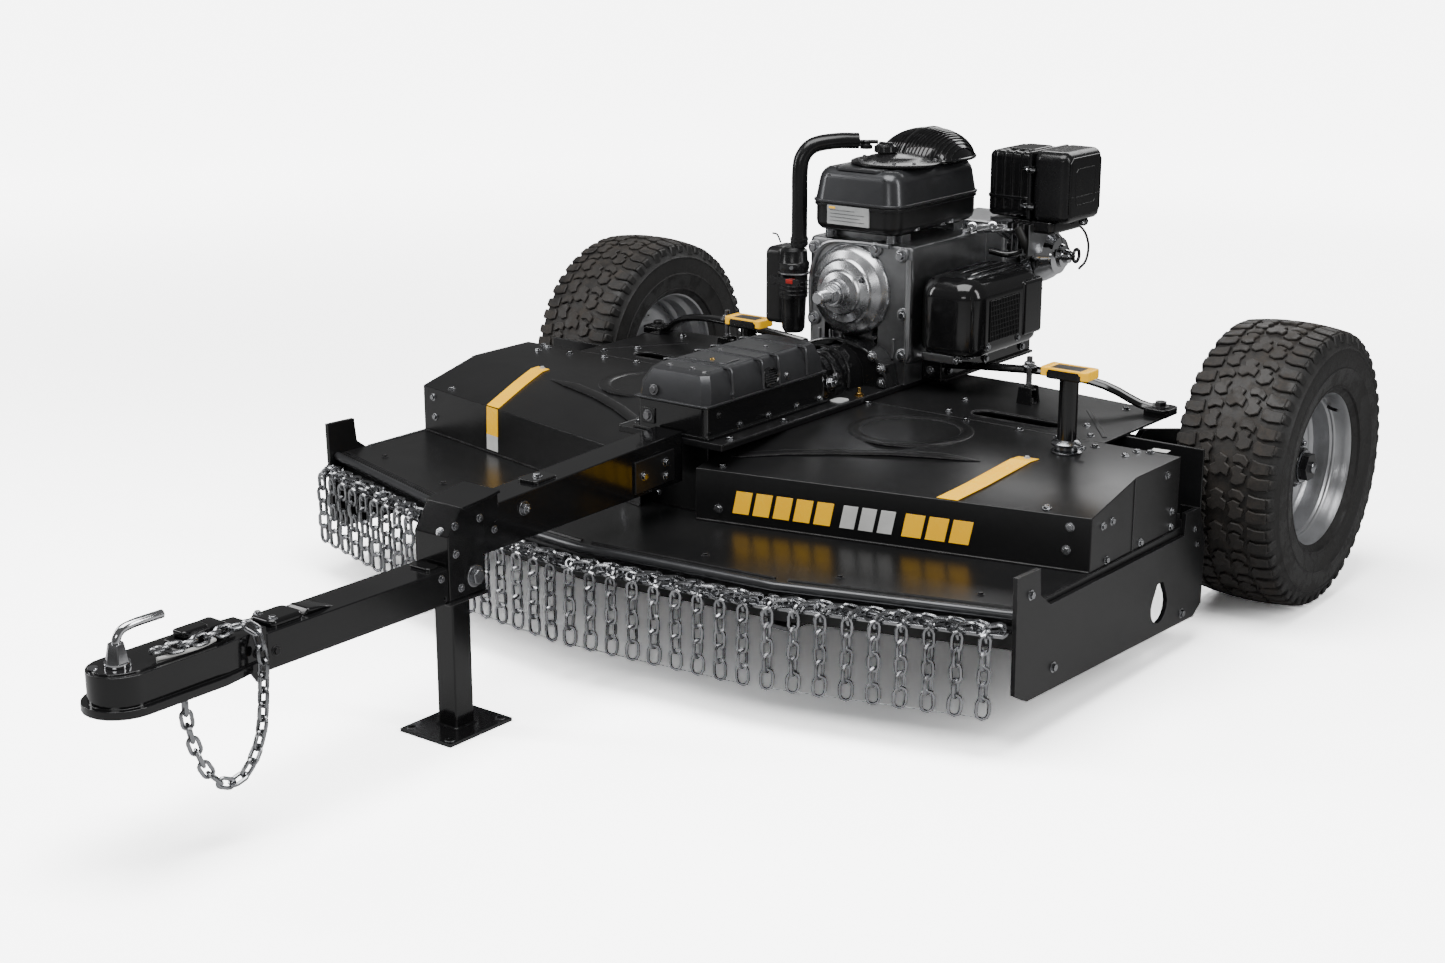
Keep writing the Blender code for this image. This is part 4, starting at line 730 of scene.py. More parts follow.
def make_rail():
    """The flat curtain rail with the strands' anchor links lying woven along its top."""
    rail = stand_in("curtain_rail", ZINC, 0.001)
    woven, hooks = [], []
    for run in range(4):
        along = bow_point(run, 1, 0, 0) - bow_point(run, 0, 0, 0)
        heading = atan2(along.y, along.x)
        for k in range(2 * STRANDS):
            share = 0.02 + (k + 0.5) * 0.96 / (2 * STRANDS)
            for row, offset in enumerate((-0.0385, -0.0235)):
                swing = radians((28 if k % 2 else -24) + SPREAD.uniform(-12, 12))
                tilt = radians((26 if (k + row) % 2 else -22) + SPREAD.uniform(-8, 8))
                at = bow_point(run, share, offset + SPREAD.uniform(-0.002, 0.002),
                               RAIL_TOP + 0.0045 + (0.003 if (k + row) % 2 else 0))
                woven.append(Matrix.Translation(at) @ Matrix.Rotation(heading + swing, 4, "Z")
                             @ Matrix.Rotation(tilt, 4, "X") @ Matrix.Rotation(pi / 2, 4, "Y"))
        for k in range(STRANDS):
            share = (k + 0.5) / STRANDS
            at = bow_point(run, share, -0.0455, RAIL_TOP - 0.001)
            hooks.append(Matrix.Translation(at)
                         @ Matrix.Rotation(heading + radians(SPREAD.uniform(60, 100)), 4, "Z")
                         @ Matrix.Rotation(radians(40), 4, "Y"))
    rail.copies(link_shape(0.034, 0.0185, 0.0058), ZINC, woven)
    rail.copies(link_shape(0.027, 0.0175, 0.0058), ZINC, hooks)
    rail.done(weighted=False)


make_curtains()
make_rail()


# ---------------------------------------------------------------- deck

def make_lip():
    path = [bow_point(run, share, 0, 0.221) for run in range(4) for share in (0.0, 0.06, 0.94)]
    inset = Vector((0.004, 0, 0))
    path = [path[0] + inset] + path[1:] + [bow_point(3, 1, 0, 0.221) - inset]
    lip = Piece("front_lip_rod_look", "frame", "front_lip_rod")
    lip.add(swept(path, 0.008, 14), GRAPHITE)
    lip.done()


def make_pan():
    pan = stand_in("deck_pan", SATIN_BLACK, 0.0012)
    for run in range(4):
        start, end = bow_point(run, 0.03, 0.02, 0.2252), bow_point(run, 0.97, 0.02, 0.2252)
        pan.add(swept([start, end], 0.0035, 8), SATIN_BLACK)
    for side in (-1, 1):
        inner, outer = sorted((side * 0.7385, side * 0.7498))
        pan.add(block((inner, -0.85, 0.206), (outer, -0.372, 0.2262), 0.0015), SATIN_BLACK)
        for x in (0.2, 0.44, 0.66):
            y = LIP_END_Y - LIP_BOW * (1 - (x / LIP_HALF) ** 2) + 0.075
            pan.bolt((side * x, y, 0.2253), (0, 0, 1), 0.005, SATIN_BLACK)
    pan.done()


def make_side_plates():
    heads = [(-0.9064, 0.2499, 0.0085), (-0.8266, 0.1091, 0.0088), (-0.3753, 0.0715, 0.0088),
             (-0.3404, 0.2148, 0.0055), (-0.3284, 0.1847, 0.0055)]
    for side, word in ((-1, "left"), (1, "right")):
        plate = stand_in(word + "_side_plate", SATIN_BLACK, 0.0012)
        low, high = box_of(word + "_side_plate")
        face = high.x if side > 0 else low.x
        for y, z, size in heads:
            plate.bolt((face, y, z), (side, 0, 0), size * 0.72, ZINC, spin=y * 40)
        for y in (-0.7, -0.62, -0.34):
            plate.bolt((face - side * 0.0085, y, 0.205), (-side, 0, 0), 0.005, ZINC)
        plate.done()


def cover_front(x, z, proud=0.0):
    """A point on the front wall of a belt cover, mirrored for the left by the sign of x."""
    share = (abs(x) - 0.062) / (0.746 - 0.062)
    y = -0.845 + share * (0.845 - 0.696)
    out = Vector((0.213, -0.977, 0)) * proud
    return Vector((x, y, z)) + Vector((out.x * (1 if x > 0 else -1), out.y, 0))


def cover_top(x, share, proud=0.0):
    """A point on a belt cover's sloping top: share 0 at its front edge, 1 at its crest."""
    along = (abs(x) - 0.062) / (0.746 - 0.062)
    front = -0.845 + along * (0.845 - 0.696)
    crest = -0.66 + along * (0.66 - 0.547)
    return Vector((x, front + (crest - front) * share, 0.317 + 0.035 * share + proud))


def make_belt_covers():
    for side, word in ((-1, "left"), (1, "right")):
        cover = stand_in(word + "_belt_cover", SATIN_BLACK, 0.0022, 3)
        node = word + "_belt_cover"
        crease = [(0.09, -0.78), (0.1, -0.769), (0.17, -0.722), (0.249, -0.6795), (0.33, -0.645),
                  (0.413, -0.619), (0.485, -0.606)]
        bed = laid_on(node, [(side * x, y) for x, y in crease], 0.0002)
        wide = [0.013 * min(1.0, 0.15 + 6 * min(k, len(bed) - 1 - k) / len(bed)) for k in range(len(bed))]
        cover.add(swept(bed, wide, 14, flat=0.24), SATIN_BLACK)
        ring = [(side * 0.29 + 0.1 * cos(a), -0.52 + 0.1 * sin(a), 0.3524) for a in angles_round(40)]
        cover.add(swept(ring, 0.012, 14, closed=True, flat=0.24), SATIN_BLACK)
        x_side = side * 0.7461
        for y, z in ((-0.6584, 0.2961), (-0.628, 0.297), (-0.6417, 0.2345), (-0.4366, 0.3309),
                     (-0.523, 0.2345), (-0.412, 0.2345), (-0.412, 0.262)):
            cover.bolt((x_side, y, z), (side, 0, 0), 0.0052, ZINC, spin=y * 30)
        for x, z in ((0.711, 0.2989), (0.7064, 0.2597), (0.105, 0.25)):
            cover.bolt(cover_front(side * x, z, 0.0002), (side * 0.213, -0.977, 0), 0.0055,
                       ZINC, spin=x * 9)
        for x, y in ((0.601, -0.42), (0.669, -0.441), (0.6935, -0.3965), (0.6732, -0.4053), (0.52, -0.405),
                     (0.44, -0.4), (0.33, -0.398), (0.12, -0.402)):
            cover.bolt((side * x, y, 0.3522), (0, 0, 1), 0.0055, ZINC, spin=x * 7)
        for x in (0.665, 0.1):
            cover.bolt(cover_top(side * x, 0.1, 0.0002), (side * 0.04, -0.19, 0.98), 0.0055,
                       ZINC, spin=x * 7)
        seam = [(side * 0.7466, -0.5535, z) for z in (0.2262, 0.3508)]
        cover.add(swept(seam, 0.0012, 6), GLOSS_BLACK)
        foot = [cover_front(side * x, 0.2268, 0.0012) for x in (0.064, 0.3, 0.55, 0.744)]
        cover.add(swept(foot, 0.0017, 6), SATIN_BLACK)
        cover.done()


def slanted(low_x, high_x, low_z, high_z, lean):
    return [(low_x, low_z), (high_x, low_z), (high_x + lean, high_z), (low_x + lean, high_z)]


def make_markings():
    """Plain generic stripes: slanted blocks along the right front wall and a folded strip each side."""
    marks = Piece("belt_cover_stripes", "frame")
    angle = atan2(0.845 - 0.696, 0.746 - 0.062)
    start = cover_front(0.131, 0.2455, 0.0003)
    place = Matrix.Translation(start) @ Matrix.Rotation(angle, 4, "Z")
    at = 0.0
    for widths, finish_with in (((0.03, 0.03, 0.03, 0.03, 0.03), YELLOW), ((0.026, 0.026, 0.026), WHITE),
                                ((0.034, 0.034, 0.034), YELLOW)):
        for width in widths:
            bar = prism(slanted(at, at + width, 0.0, 0.04, 0.008), "y", -0.0006, 0.0, 0.0002, 1)
            marks.add(bar, finish_with, place)
            at += width + 0.0075
        at += 0.01
    for side, word in ((-1, "left"), (1, "right")):
        node = word + "_belt_cover"
        run = [(side * 0.549, -0.556), (side * 0.546, -0.58), (side * 0.5075, -0.747)]
        middle = laid_on(node, run, 0.0022, 5)
        marks.add(ribbon(middle, (0.036, 0.006 * side, 0), 0.0008), YELLOW)
        edge = cover_front(side * 0.5075, 0.3168, 0.0008)
        knee = cover_front(side * 0.51, 0.262, 0.0008)
        toe = cover_front(side * 0.511, 0.232, 0.0008)
        if side < 0:
            marks.add(ribbon([edge, knee], (0.036, -0.0078, 0), 0.0006), YELLOW)
            marks.add(ribbon([knee, toe], (0.036, -0.0078, 0), 0.0006), WHITE)
        marks.bolt(middle[1] + Vector((0, 0, 0.0002)), (0, 0, 1), 0.004, PALE)
    tag = prism(slanted(0, 0.03, 0, 0.018, 0.0), "z", 0, 0.0006)
    marks.add(tag, WHITE, Matrix.Translation((0.688, -0.386, 0.3526)) @ Matrix.Rotation(0.1, 4, "Z"))
    marks.done()


def make_centre_cover():
    cover = stand_in("centre_cover", SATIN_BLACK, 0.0015)
    for x in (-0.05, 0.05):
        for z in (0.245, 0.275):
            cover.bolt((x, -0.8102, z), (0, -1, 0), 0.0052, ZINC, spin=z * 30)
    cover.done()


def make_rear_deck():
    plate = stand_in("rear_deck_plate", SATIN_BLACK, 0.0012)
    for side in (-1, 1):
        for x, y in ((0.2483, -0.2685), (0.52, -0.3), (0.56, -0.36), (0.52, -0.15), (0.27, -0.36)):
            plate.bolt((side * x, y, 0.3523), (0, 0, 1), 0.0055, ZINC, spin=x * 11)
        oval = []
        for k in range(24):
            turn = 2 * pi * k / 24
            shift = 0.07 if cos(turn) >= 0 else -0.07
            oval.append((side * 0.4 + shift + 0.0245 * cos(turn), -0.335 + 0.0245 * sin(turn), 0.3526))
        plate.add(swept(oval, 0.0016, 6, closed=True), SATIN_BLACK)
        crease = [(side * 0.585, -0.355, 0.3523), (side * 0.47, -0.2, 0.3523)]
        plate.add(swept(crease, 0.005, 8, flat=0.3), SATIN_BLACK)
    plate.done()
    cross = stand_in("rear_crossmember", SATIN_BLACK, 0.0015)
    for side in (-1, 1):
        for x in (0.54, 0.3):
            cross.bolt((side * x, -0.2298, 0.318), (0, 1, 0), 0.008, ZINC)
    cross.done()


def make_braces():
    """Flat arched bars from the engine's plinth to a bolted tab, with a threaded link below."""
    for side, word in ((-1, "left"), (1, "right")):
        brace = stand_in(word + "_brace", GLOSS_BLACK, 0.0035, 3)
        brace.add(pillow((side * 0.588 - 0.026, -0.176, 0.3626), (side * 0.588 + 0.026, -0.122, 0.3676),
                         0.014, 0.0015, 0), GLOSS_BLACK)
        brace.bolt((side * 0.588, -0.148, 0.3676), (0, 0, 1), 0.011, SATIN_BLACK)
        link_at = (side * 0.352, -0.215)
        brace.add(rod((*link_at, 0.353), (*link_at, 0.44), 0.0055, 12), STEEL)
        brace.bolt((*link_at, 0.421), (0, 0, 1), 0.0105, ZINC)
        for z, size in ((0.353, 0.0115), (0.378, 0.01)):
            brace.bolt((*link_at, z), (0, 0, 1), size, SATIN_BLACK, spin=z * 40)
        rings = [(*link_at, 0.362 + 0.0016 * k) for k in range(20)]
        for k, at in enumerate(rings[::2]):
            brace.add(turned([(0.0052, -0.0007), (0.0066, 0), (0.0052, 0.0007)], at=at, steps=12,
                             ring=True), STEEL)
        fork = [(link_at[0] - 0.016, 0.352), (link_at[0] + 0.016, 0.352), (link_at[0] + 0.012, 0.384),
                (link_at[0] - 0.012, 0.384)]
        for y in (-0.232, -0.204):
            brace.add(prism([(a, b + 0.0006) for a, b in fork], "y", y, y + 0.005, 0.001), GLOSS_BLACK)
        brace.done()


def make_latches():
    """Two upright latch posts with collars and yellow-ended handles."""
    for word in ("left", "right"):
        post, handle = word + "_latch_post", word + "_latch_handle"
        low, high = box_of(post)
        middle = (low + high) / 2
        x, y = middle.x, middle.y
        tube = Piece(post + "_look", BODY_OF[post], post)
        bore = 0.0077
        tube.add(turned([(bore, low.z), (0.0165, low.z), (0.0165, high.z - 0.001), (0.0155, high.z),
                         (bore, high.z)], at=(x, y, 0), steps=28, ring=True), GLOSS_BLACK)
        base = low.z
        tube.add(turned([(0.0165, 0.0), (0.026, 0.0), (0.027, 0.002), (0.024, 0.004), (0.0195, 0.0055),
                         (0.0195, 0.01), (0.0255, 0.0125), (0.0265, 0.0165), (0.022, 0.0205),
                         (0.0168, 0.0225)], at=(x, y, base), steps=28), ZINC)
        tube.add(rod((x + 0.02, y - 0.008, base + 0.0165), (x + 0.044, y - 0.018, base + 0.0165), 0.0042,
                     12, 0.001), ZINC)
        tube.done()
        low, high = box_of(handle)
        grip = Piece(handle + "_look", BODY_OF[handle], handle)
        cap = 0.0195
        foot = high.z - cap
        grip.add(rod((x, y, low.z), (x, y, foot + 0.004), 0.0068, 16), STEEL)
        grip.add(pillow((low.x + 0.01, low.y, foot), (high.x - 0.01, high.y, high.z - 0.002), 0.008, 0.003,
                        0.003), BLACK_PLASTIC)
        for start, end in ((low.x, low.x + 0.016), (high.x - 0.016, high.x)):
            grip.add(pillow((start, low.y + 0.001, foot + 0.003), (end, high.y - 0.001, high.z), 0.006,
                            0.003, 0.002), YELLOW)
        for start, end in ((low.y, low.y + 0.0075), (high.y - 0.0075, high.y)):
            grip.add(block((low.x + 0.012, start + 0.0004, high.z - 0.0085),
                           (high.x - 0.012, end - 0.0004, high.z - 0.0004), 0.002), YELLOW)
        grip.add(pillow((low.x + 0.015, low.y + 0.0075, high.z - 0.006),
                        (high.x - 0.015, high.y - 0.0075, high.z - 0.0012), 0.004, 0.0015, 0), GRAPHITE)
        grip.done()


make_lip()
make_pan()
make_side_plates()
make_belt_covers()
make_markings()
make_centre_cover()
make_rear_deck()
make_braces()
make_latches()


# ---------------------------------------------------------------- drawbar

def make_drawbar():
    sleeve = stand_in("post_sleeve", GLOSS_BLACK, 0.0018)
    low, high = box_of("post_sleeve")
    sleeve.bolt((high.x, -1.3643, 0.2508 + 0.004), (1, 0, 0), 0.0125, ZINC, spin=0.2)
    sleeve.bolt((low.x, -1.3643, 0.2548), (-1, 0, 0), 0.0125, ZINC)
    sleeve.bolt((0.0155, -1.416, 0.335), (0, -0.81, 0.58), 0.0048, ZINC)
    for y, z in ((-1.4042, 0.3), (-1.4042, 0.345), (-1.35, 0.345), (-1.395, 0.243)):
        sleeve.bolt((high.x, y, z), (1, 0, 0), 0.0048, ZINC, spin=z * 50)
        sleeve.bolt((low.x, y, z), (-1, 0, 0), 0.0048, ZINC)
    cap = prism([(-1.39, high.z - 0.0045), (-1.338, high.z - 0.0005), (-1.306, high.z + 0.004),
                 (-1.306, high.z + 0.009), (-1.338, high.z + 0.0045), (-1.391, high.z + 0.0002)], "x",
                low.x - 0.004, high.x + 0.004, 0.001)
    sleeve.add(cap, GLOSS_BLACK)
    for side in (-1, 1):
        ear = [(-1.3415, high.z), (-1.306, high.z + 0.0045), (-1.306, high.z - 0.04),
               (-1.3415, high.z - 0.05)]
        sleeve.add(prism(ear, "x", side * 0.03, side * 0.0345, 0.001), GLOSS_BLACK)
    sleeve.add(block((-0.0405, -1.425, 0.2205), (0.0405, -1.3385, 0.2265), 0.0015), GLOSS_BLACK)
    for side in (-1, 1):
        sleeve.bolt((side * 0.031, -1.4285, 0.233), (0, -1, 0), 0.0045, SATIN_BLACK)
    sleeve.done()

    beam = stand_in("main_beam", GLOSS_BLACK, 0.003, 3)
    for side in (-1, 1):
        beam.bolt((side * 0.0301, -1.2429, 0.3341), (side, 0, 0), 0.0085, ZINC, stud=0.012)
        clip = [(-0.972, 0.293), (-0.972, 0.349), (-0.868, 0.352), (-0.868, 0.297)]
        beam.add(prism(clip, "x", side * 0.0301, side * 0.0345, 0.0012), SATIN_BLACK)
        for z in (0.3005 + 0.008, 0.333):
            beam.bolt((side * 0.0345, -0.8915, z), (side, 0, 0), 0.006, ZINC)
        beam.bolt((side * 0.0345, -0.95, 0.321), (side, 0, 0), 0.006, ZINC)
        for z in (0.316, 0.334):
            beam.bolt((side * 0.0301, -1.312, z), (side, 0, 0), 0.0045, ZINC)
    beam.add(pillow((-0.021, -1.205, 0.3612), (0.021, -1.15, 0.3668), 0.008, 0.002, 0), GLOSS_BLACK)
    beam.bolt((0.0, -1.178, 0.3666), (0, 0, 1), 0.006, ZINC)
    beam.done()

    tongue = stand_in("tongue_tube", GLOSS_BLACK, 0.003, 3)
    tongue.add(pillow((-0.024, -1.765, 0.2795), (0.026, -1.7, 0.2905), 0.012, 0.006, 0), GLOSS_BLACK)
    hump = [(-1.7, 0.2798), (-1.69, 0.2895), (-1.668, 0.287), (-1.64, 0.2798)]
    tongue.add(prism(hump, "x", -0.018, 0.022, 0.0025), GLOSS_BLACK)
    tongue.add(pillow((-0.02, -1.452, 0.2795), (0.022, -1.425, 0.285), 0.006, 0.002, 0), GLOSS_BLACK)
    for x in (-0.016, 0.016):
        tongue.bolt((x, -1.752, 0.2902), (0, 0, 1), 0.005, ZINC)
    for side in (-1, 1):
        tongue.bolt((side * 0.0351, -1.436, 0.268), (side, 0, 0), 0.0045, ZINC)
        tongue.bolt((side * 0.0351, -1.765, 0.25), (side, 0, 0), 0.0055, SATIN_BLACK)
    tongue.done()

    leg = stand_in("jack_leg", GLOSS_BLACK, 0.0025, 3)
    leg.done()
    foot = stand_in("jack_foot", GLOSS_BLACK, 0.0015)
    low, high = box_of("jack_foot")
    middle = (low + high) / 2
    for sx in (-1, 1):
        for sy in (-1, 1):
            ring = turned([(0.006, 0), (0.0088, 0), (0.0086, 0.0012), (0.0062, 0.0014)],
                          at=(sx * 0.042, middle.y + sy * 0.057, high.z), steps=20, ring=True)
            foot.add(ring, ZINC)
    weld = []
    for k in range(32):
        turn = 2 * pi * k / 32
        reach = 0.0215 / max(abs(cos(turn)), abs(sin(turn)))
        weld.append((reach * cos(turn), middle.y + reach * sin(turn), high.z + 0.0008))
    foot.add(swept(weld, 0.0019, 6, closed=True), GLOSS_BLACK)
    foot.done()


def make_coupler():
    shell = stand_in("coupler_shell", GLOSS_BLACK, 0.0022, 3)
    rise = box_of("coupler_shell")[1].z
    arch = [(0.046 * cos(a), 0.06 * sin(a)) for a in [pi + pi * k / 16 for k in range(17)]]
    dais = [(x * 0.8, -1.995 + y * 0.78) for x, y in arch] + [(0.036, -1.835), (-0.036, -1.835)]
    shell.add(prism(dais, "z", rise - 0.001, rise + 0.0022, 0.0012), GLOSS_BLACK)
    shell.add(turned([(0, 0), (0.0075, 0), (0.0065, 0.0022), (0, 0.003)],
                     at=(-0.018, -2.032, rise + 0.0018)), CHROME)
    lug = [(-1.815, 0.2338), (-1.8, 0.212), (-1.786, 0.212), (-1.782, 0.2338)]
    for side in (-1, 1):
        shell.add(prism(lug, "x", side * 0.03, side * 0.036, 0.001), GLOSS_BLACK)
        shell.bolt((side * 0.0362, -1.794, 0.2225), (side, 0, 0), 0.004, ZINC)
        shell.bolt((side * 0.0462, -1.81, 0.262), (side, 0, 0), 0.0052, SATIN_BLACK)
    shell.add(swept(smooth_line([(0.026, -1.962, rise + 0.004), (0.034, -1.93, rise + 0.005),
                                 (0.036, -1.895, rise + 0.005), (0.032, -1.868, rise + 0.006)]),
                    0.0028, 10), WHITE)
    shell.done()

    latch = stand_in("coupler_latch", GLOSS_BLACK, 0.0016)
    low, high = box_of("coupler_latch")
    latch.add(pillow((low.x + 0.005, low.y + 0.012, high.z - 0.006),
                     (high.x - 0.005, high.y - 0.03, high.z + 0.002), 0.006, 0.003, 0), GLOSS_BLACK)
    latch.add(rod((low.x - 0.0025, -1.8403, 0.3003), (high.x + 0.0025, -1.8403, 0.3003), 0.0045, 14,
                  0.0008), ZINC)
    latch.done()

    pin = Piece("hitch_pin_look", BODY_OF["hitch_pin"], "hitch_pin")
    pin.add(turned([(0, 0.2365), (0.0065, 0.2365), (0.0078, 0.24), (0.0078, 0.2915), (0, 0.2915)],
                   at=(0, -2.006, 0), steps=20), STEEL)
    pin.add(turned([(0, 0.2913), (0.0175, 0.2913), (0.0185, 0.2935), (0.0178, 0.2985), (0, 0.2985)],
                   at=(0, -2.006, 0), steps=24), CHROME)
    knob = bmesh.new()
    bmesh.ops.create_cone(knob, cap_ends=True, segments=6, radius1=0.0172, radius2=0.0118, depth=0.026)
    soften(knob, knob.edges, 0.0011, 2)
    pin.add(knob, CHROME, Matrix.Translation((0, -2.006, 0.311)))
    bend = smooth_line([(0, -2.006, 0.318), (0, -2.004, 0.33), (0.0006, -1.996, 0.34),
                        (0.0018, -1.978, 0.344), (0.003, -1.954, 0.345), (0.004, -1.931, 0.3453)], 5)
    pin.add(swept(bend, 0.0062, 12), CHROME)
    pin.done()


make_drawbar()
make_coupler()


# ---------------------------------------------------------------- drive line covers

def make_drive_covers():
    platform = stand_in("drive_platform", SATIN_BLACK, 0.0015)
    top = box_of("drive_platform")[1].z
    platform.add(pillow((0.08, -0.475, top), (0.108, -0.44, top + 0.0022), 0.01, 0.001, 0), PALE)
    platform.bolt((0.1, -0.4016, top), (0, 0, 1), 0.0068, BRASS, stud=0.016)
    for side in (-1, 1):
        for y in (-0.8, -0.64, -0.36, -0.24, 0.1):
            if side < 0 or y != -0.36:
                platform.bolt((side * 0.101, y, top), (0, 0, 1), 0.006, ZINC, spin=y * 20)
        edge = [(side * 0.115, -0.836, top - 0.001), (side * 0.115, 0.126, top - 0.001)]
        platform.add(swept(edge, 0.0022, 8), SATIN_BLACK)
    platform.done()

    base = stand_in("drive_cover_base", GLOSS_BLACK, 0.0022, 3)
    low, high = box_of("drive_cover_base")
    flange = prism([(low.x - 0.006, low.y - 0.002), (high.x + 0.006, low.y - 0.002),
                    (high.x + 0.006, high.y), (low.x - 0.006, high.y)], "z", low.z, low.z + 0.0055, 0.0015)
    base.add(flange, GLOSS_BLACK)
    for side, face in ((-1, low.x), (1, high.x)):
        for y in (-0.7395, -0.655, -0.57, -0.5):
            base.bolt((face, y, 0.3745), (side, 0, 0), 0.0052, ZINC, spin=y * 25)
        base.bolt((face, -0.8, 0.404), (side, 0, 0), 0.0042, SATIN_BLACK)
    base.add(block((-0.062, low.y - 0.0035, 0.378), (-0.034, low.y + 0.001, 0.406), 0.002), GLOSS_BLACK)
    base.bolt((-0.048, low.y - 0.0035, 0.392), (0, -1, 0), 0.0072, STEEL)
    base.done()

    hood = stand_in("drive_cover_hood", GRAPHITE, 0.0075, 4)
    low, high = box_of("drive_cover_hood")
    lip = prism([(low.x - 0.0028, low.y - 0.0028), (high.x + 0.0028, low.y - 0.0028),
                 (high.x + 0.0028, high.y), (low.x - 0.0028, high.y)], "z", low.z, low.z + 0.0045, 0.0016)
    hood.add(lip, GRAPHITE)
    for y in (-0.76, -0.672, -0.625, -0.54):
        band = [(low.x - 0.0006, y, low.z + 0.006), (low.x + 0.003, y, high.z - 0.012),
                (low.x + 0.012, y, high.z - 0.0012), (0, y, high.z - 0.0002),
                (high.x - 0.012, y, high.z - 0.0012), (high.x - 0.003, y, high.z - 0.012),
                (high.x + 0.0006, y, low.z + 0.006)]
        hood.add(swept(smooth_line(band, 3), 0.0026, 8), GRAPHITE)
    hood.add(pillow((-0.046, -0.745, high.z - 0.002), (0.046, -0.69, high.z + 0.0022), 0.012, 0.002, 0),
             GRAPHITE)
    for side in (1, -1):
        spot, out = on_surface("drive_cover_hood", (side * 0.5, -0.649, 0.442), (-side, 0, 0))
        grating = Matrix.Translation(spot) @ out.to_track_quat("Z", "Y").to_matrix().to_4x4()
        ring = turned([(0.018, -0.003), (0.018, 0.003), (0.0205, 0.0042), (0.023, 0.002), (0.023, -0.003)],
                      steps=30, ring=True)
        bmesh.ops.scale(ring, vec=(1, 0.8, 1), verts=ring.verts)
        hood.add(ring, GLOSS_BLACK, grating)
        for k in range(6):
            at = -0.011 + 0.0044 * k
            half = sqrt(0.0172 ** 2 - (at / 0.8) ** 2) if abs(at) < 0.0137 else 0.004
            hood.add(block((-half, at - 0.0011, 0), (half, at + 0.0011, 0.0036), 0.0006, 1),
                     GLOSS_BLACK, grating)
        for y, z, metal in ((-0.6, 0.437, STEEL), (-0.76, 0.432, GRAPHITE)):
            spot, out = on_surface("drive_cover_hood", (side * 0.5, y, z), (-side, 0, 0))
            hood.bolt(spot, out, 0.0045, metal)
    hood.bolt((-0.037, low.y - 0.0005, 0.439), (0, -0.99, 0.14), 0.0065, STEEL)
    for x, y in ((-0.03, -0.8), (0.02, -0.8), (-0.03, -0.655), (0.018, -0.585)):
        hood.bolt((x, y, high.z - 0.0008), (0, 0, 1), 0.0045, STEEL, spin=y * 20)
    hood.add(turned([(0, 0), (0.005, 0), (0.004, 0.003), (0, 0.004)], at=(0.01, -0.73, high.z + 0.0015)),
             BRASS)
    hood.done()

    neck = stand_in("drive_neck", GLOSS_BLACK, 0.0035, 3)
    for y, half in ((-0.47, 0.064), (-0.43, 0.0645), (-0.385, 0.064)):
        band = [(-half, y, 0.372), (-half, y, 0.402), (-half * 0.76, y, 0.43), (-half * 0.36, y, 0.441),
                (0, y, 0.4425), (half * 0.36, y, 0.441), (half * 0.76, y, 0.43), (half, y, 0.402),
                (half, y, 0.372)]
        neck.add(swept(smooth_line(band, 3), 0.003, 8), GLOSS_BLACK)
    for side in (-1, 1):
        neck.bolt((side * 0.0655, -0.447, 0.392), (side, 0, 0.2), 0.0095, ZINC, stud=0.016)
        neck.bolt((side * 0.065, -0.428, 0.401), (side, 0, 0.3), 0.0062, STEEL)
        neck.add(block((side * 0.064 - 0.006, -0.462, 0.38), (side * 0.064 + 0.006, -0.415, 0.388), 0.002),
                 GLOSS_BLACK)
        for z in (0.376, 0.402, 0.424):
            x = side * (0.102 - max(0, z - 0.4) * 0.9)
            neck.bolt((x, -0.3305, z), (0, -1, 0), 0.0072, MACHINED, stud=0.01, spin=z * 40)
    rim = [(0.111 * cos(a), -0.33, 0.372 + 0.0735 * sin(a)) for a in [pi * k / 20 for k in range(21)]]
    neck.add(swept([(0.111, -0.33, 0.366)] + rim + [(-0.111, -0.33, 0.366)], 0.003, 8), GLOSS_BLACK)
    neck.done()


make_drive_covers()


# ---------------------------------------------------------------- engine

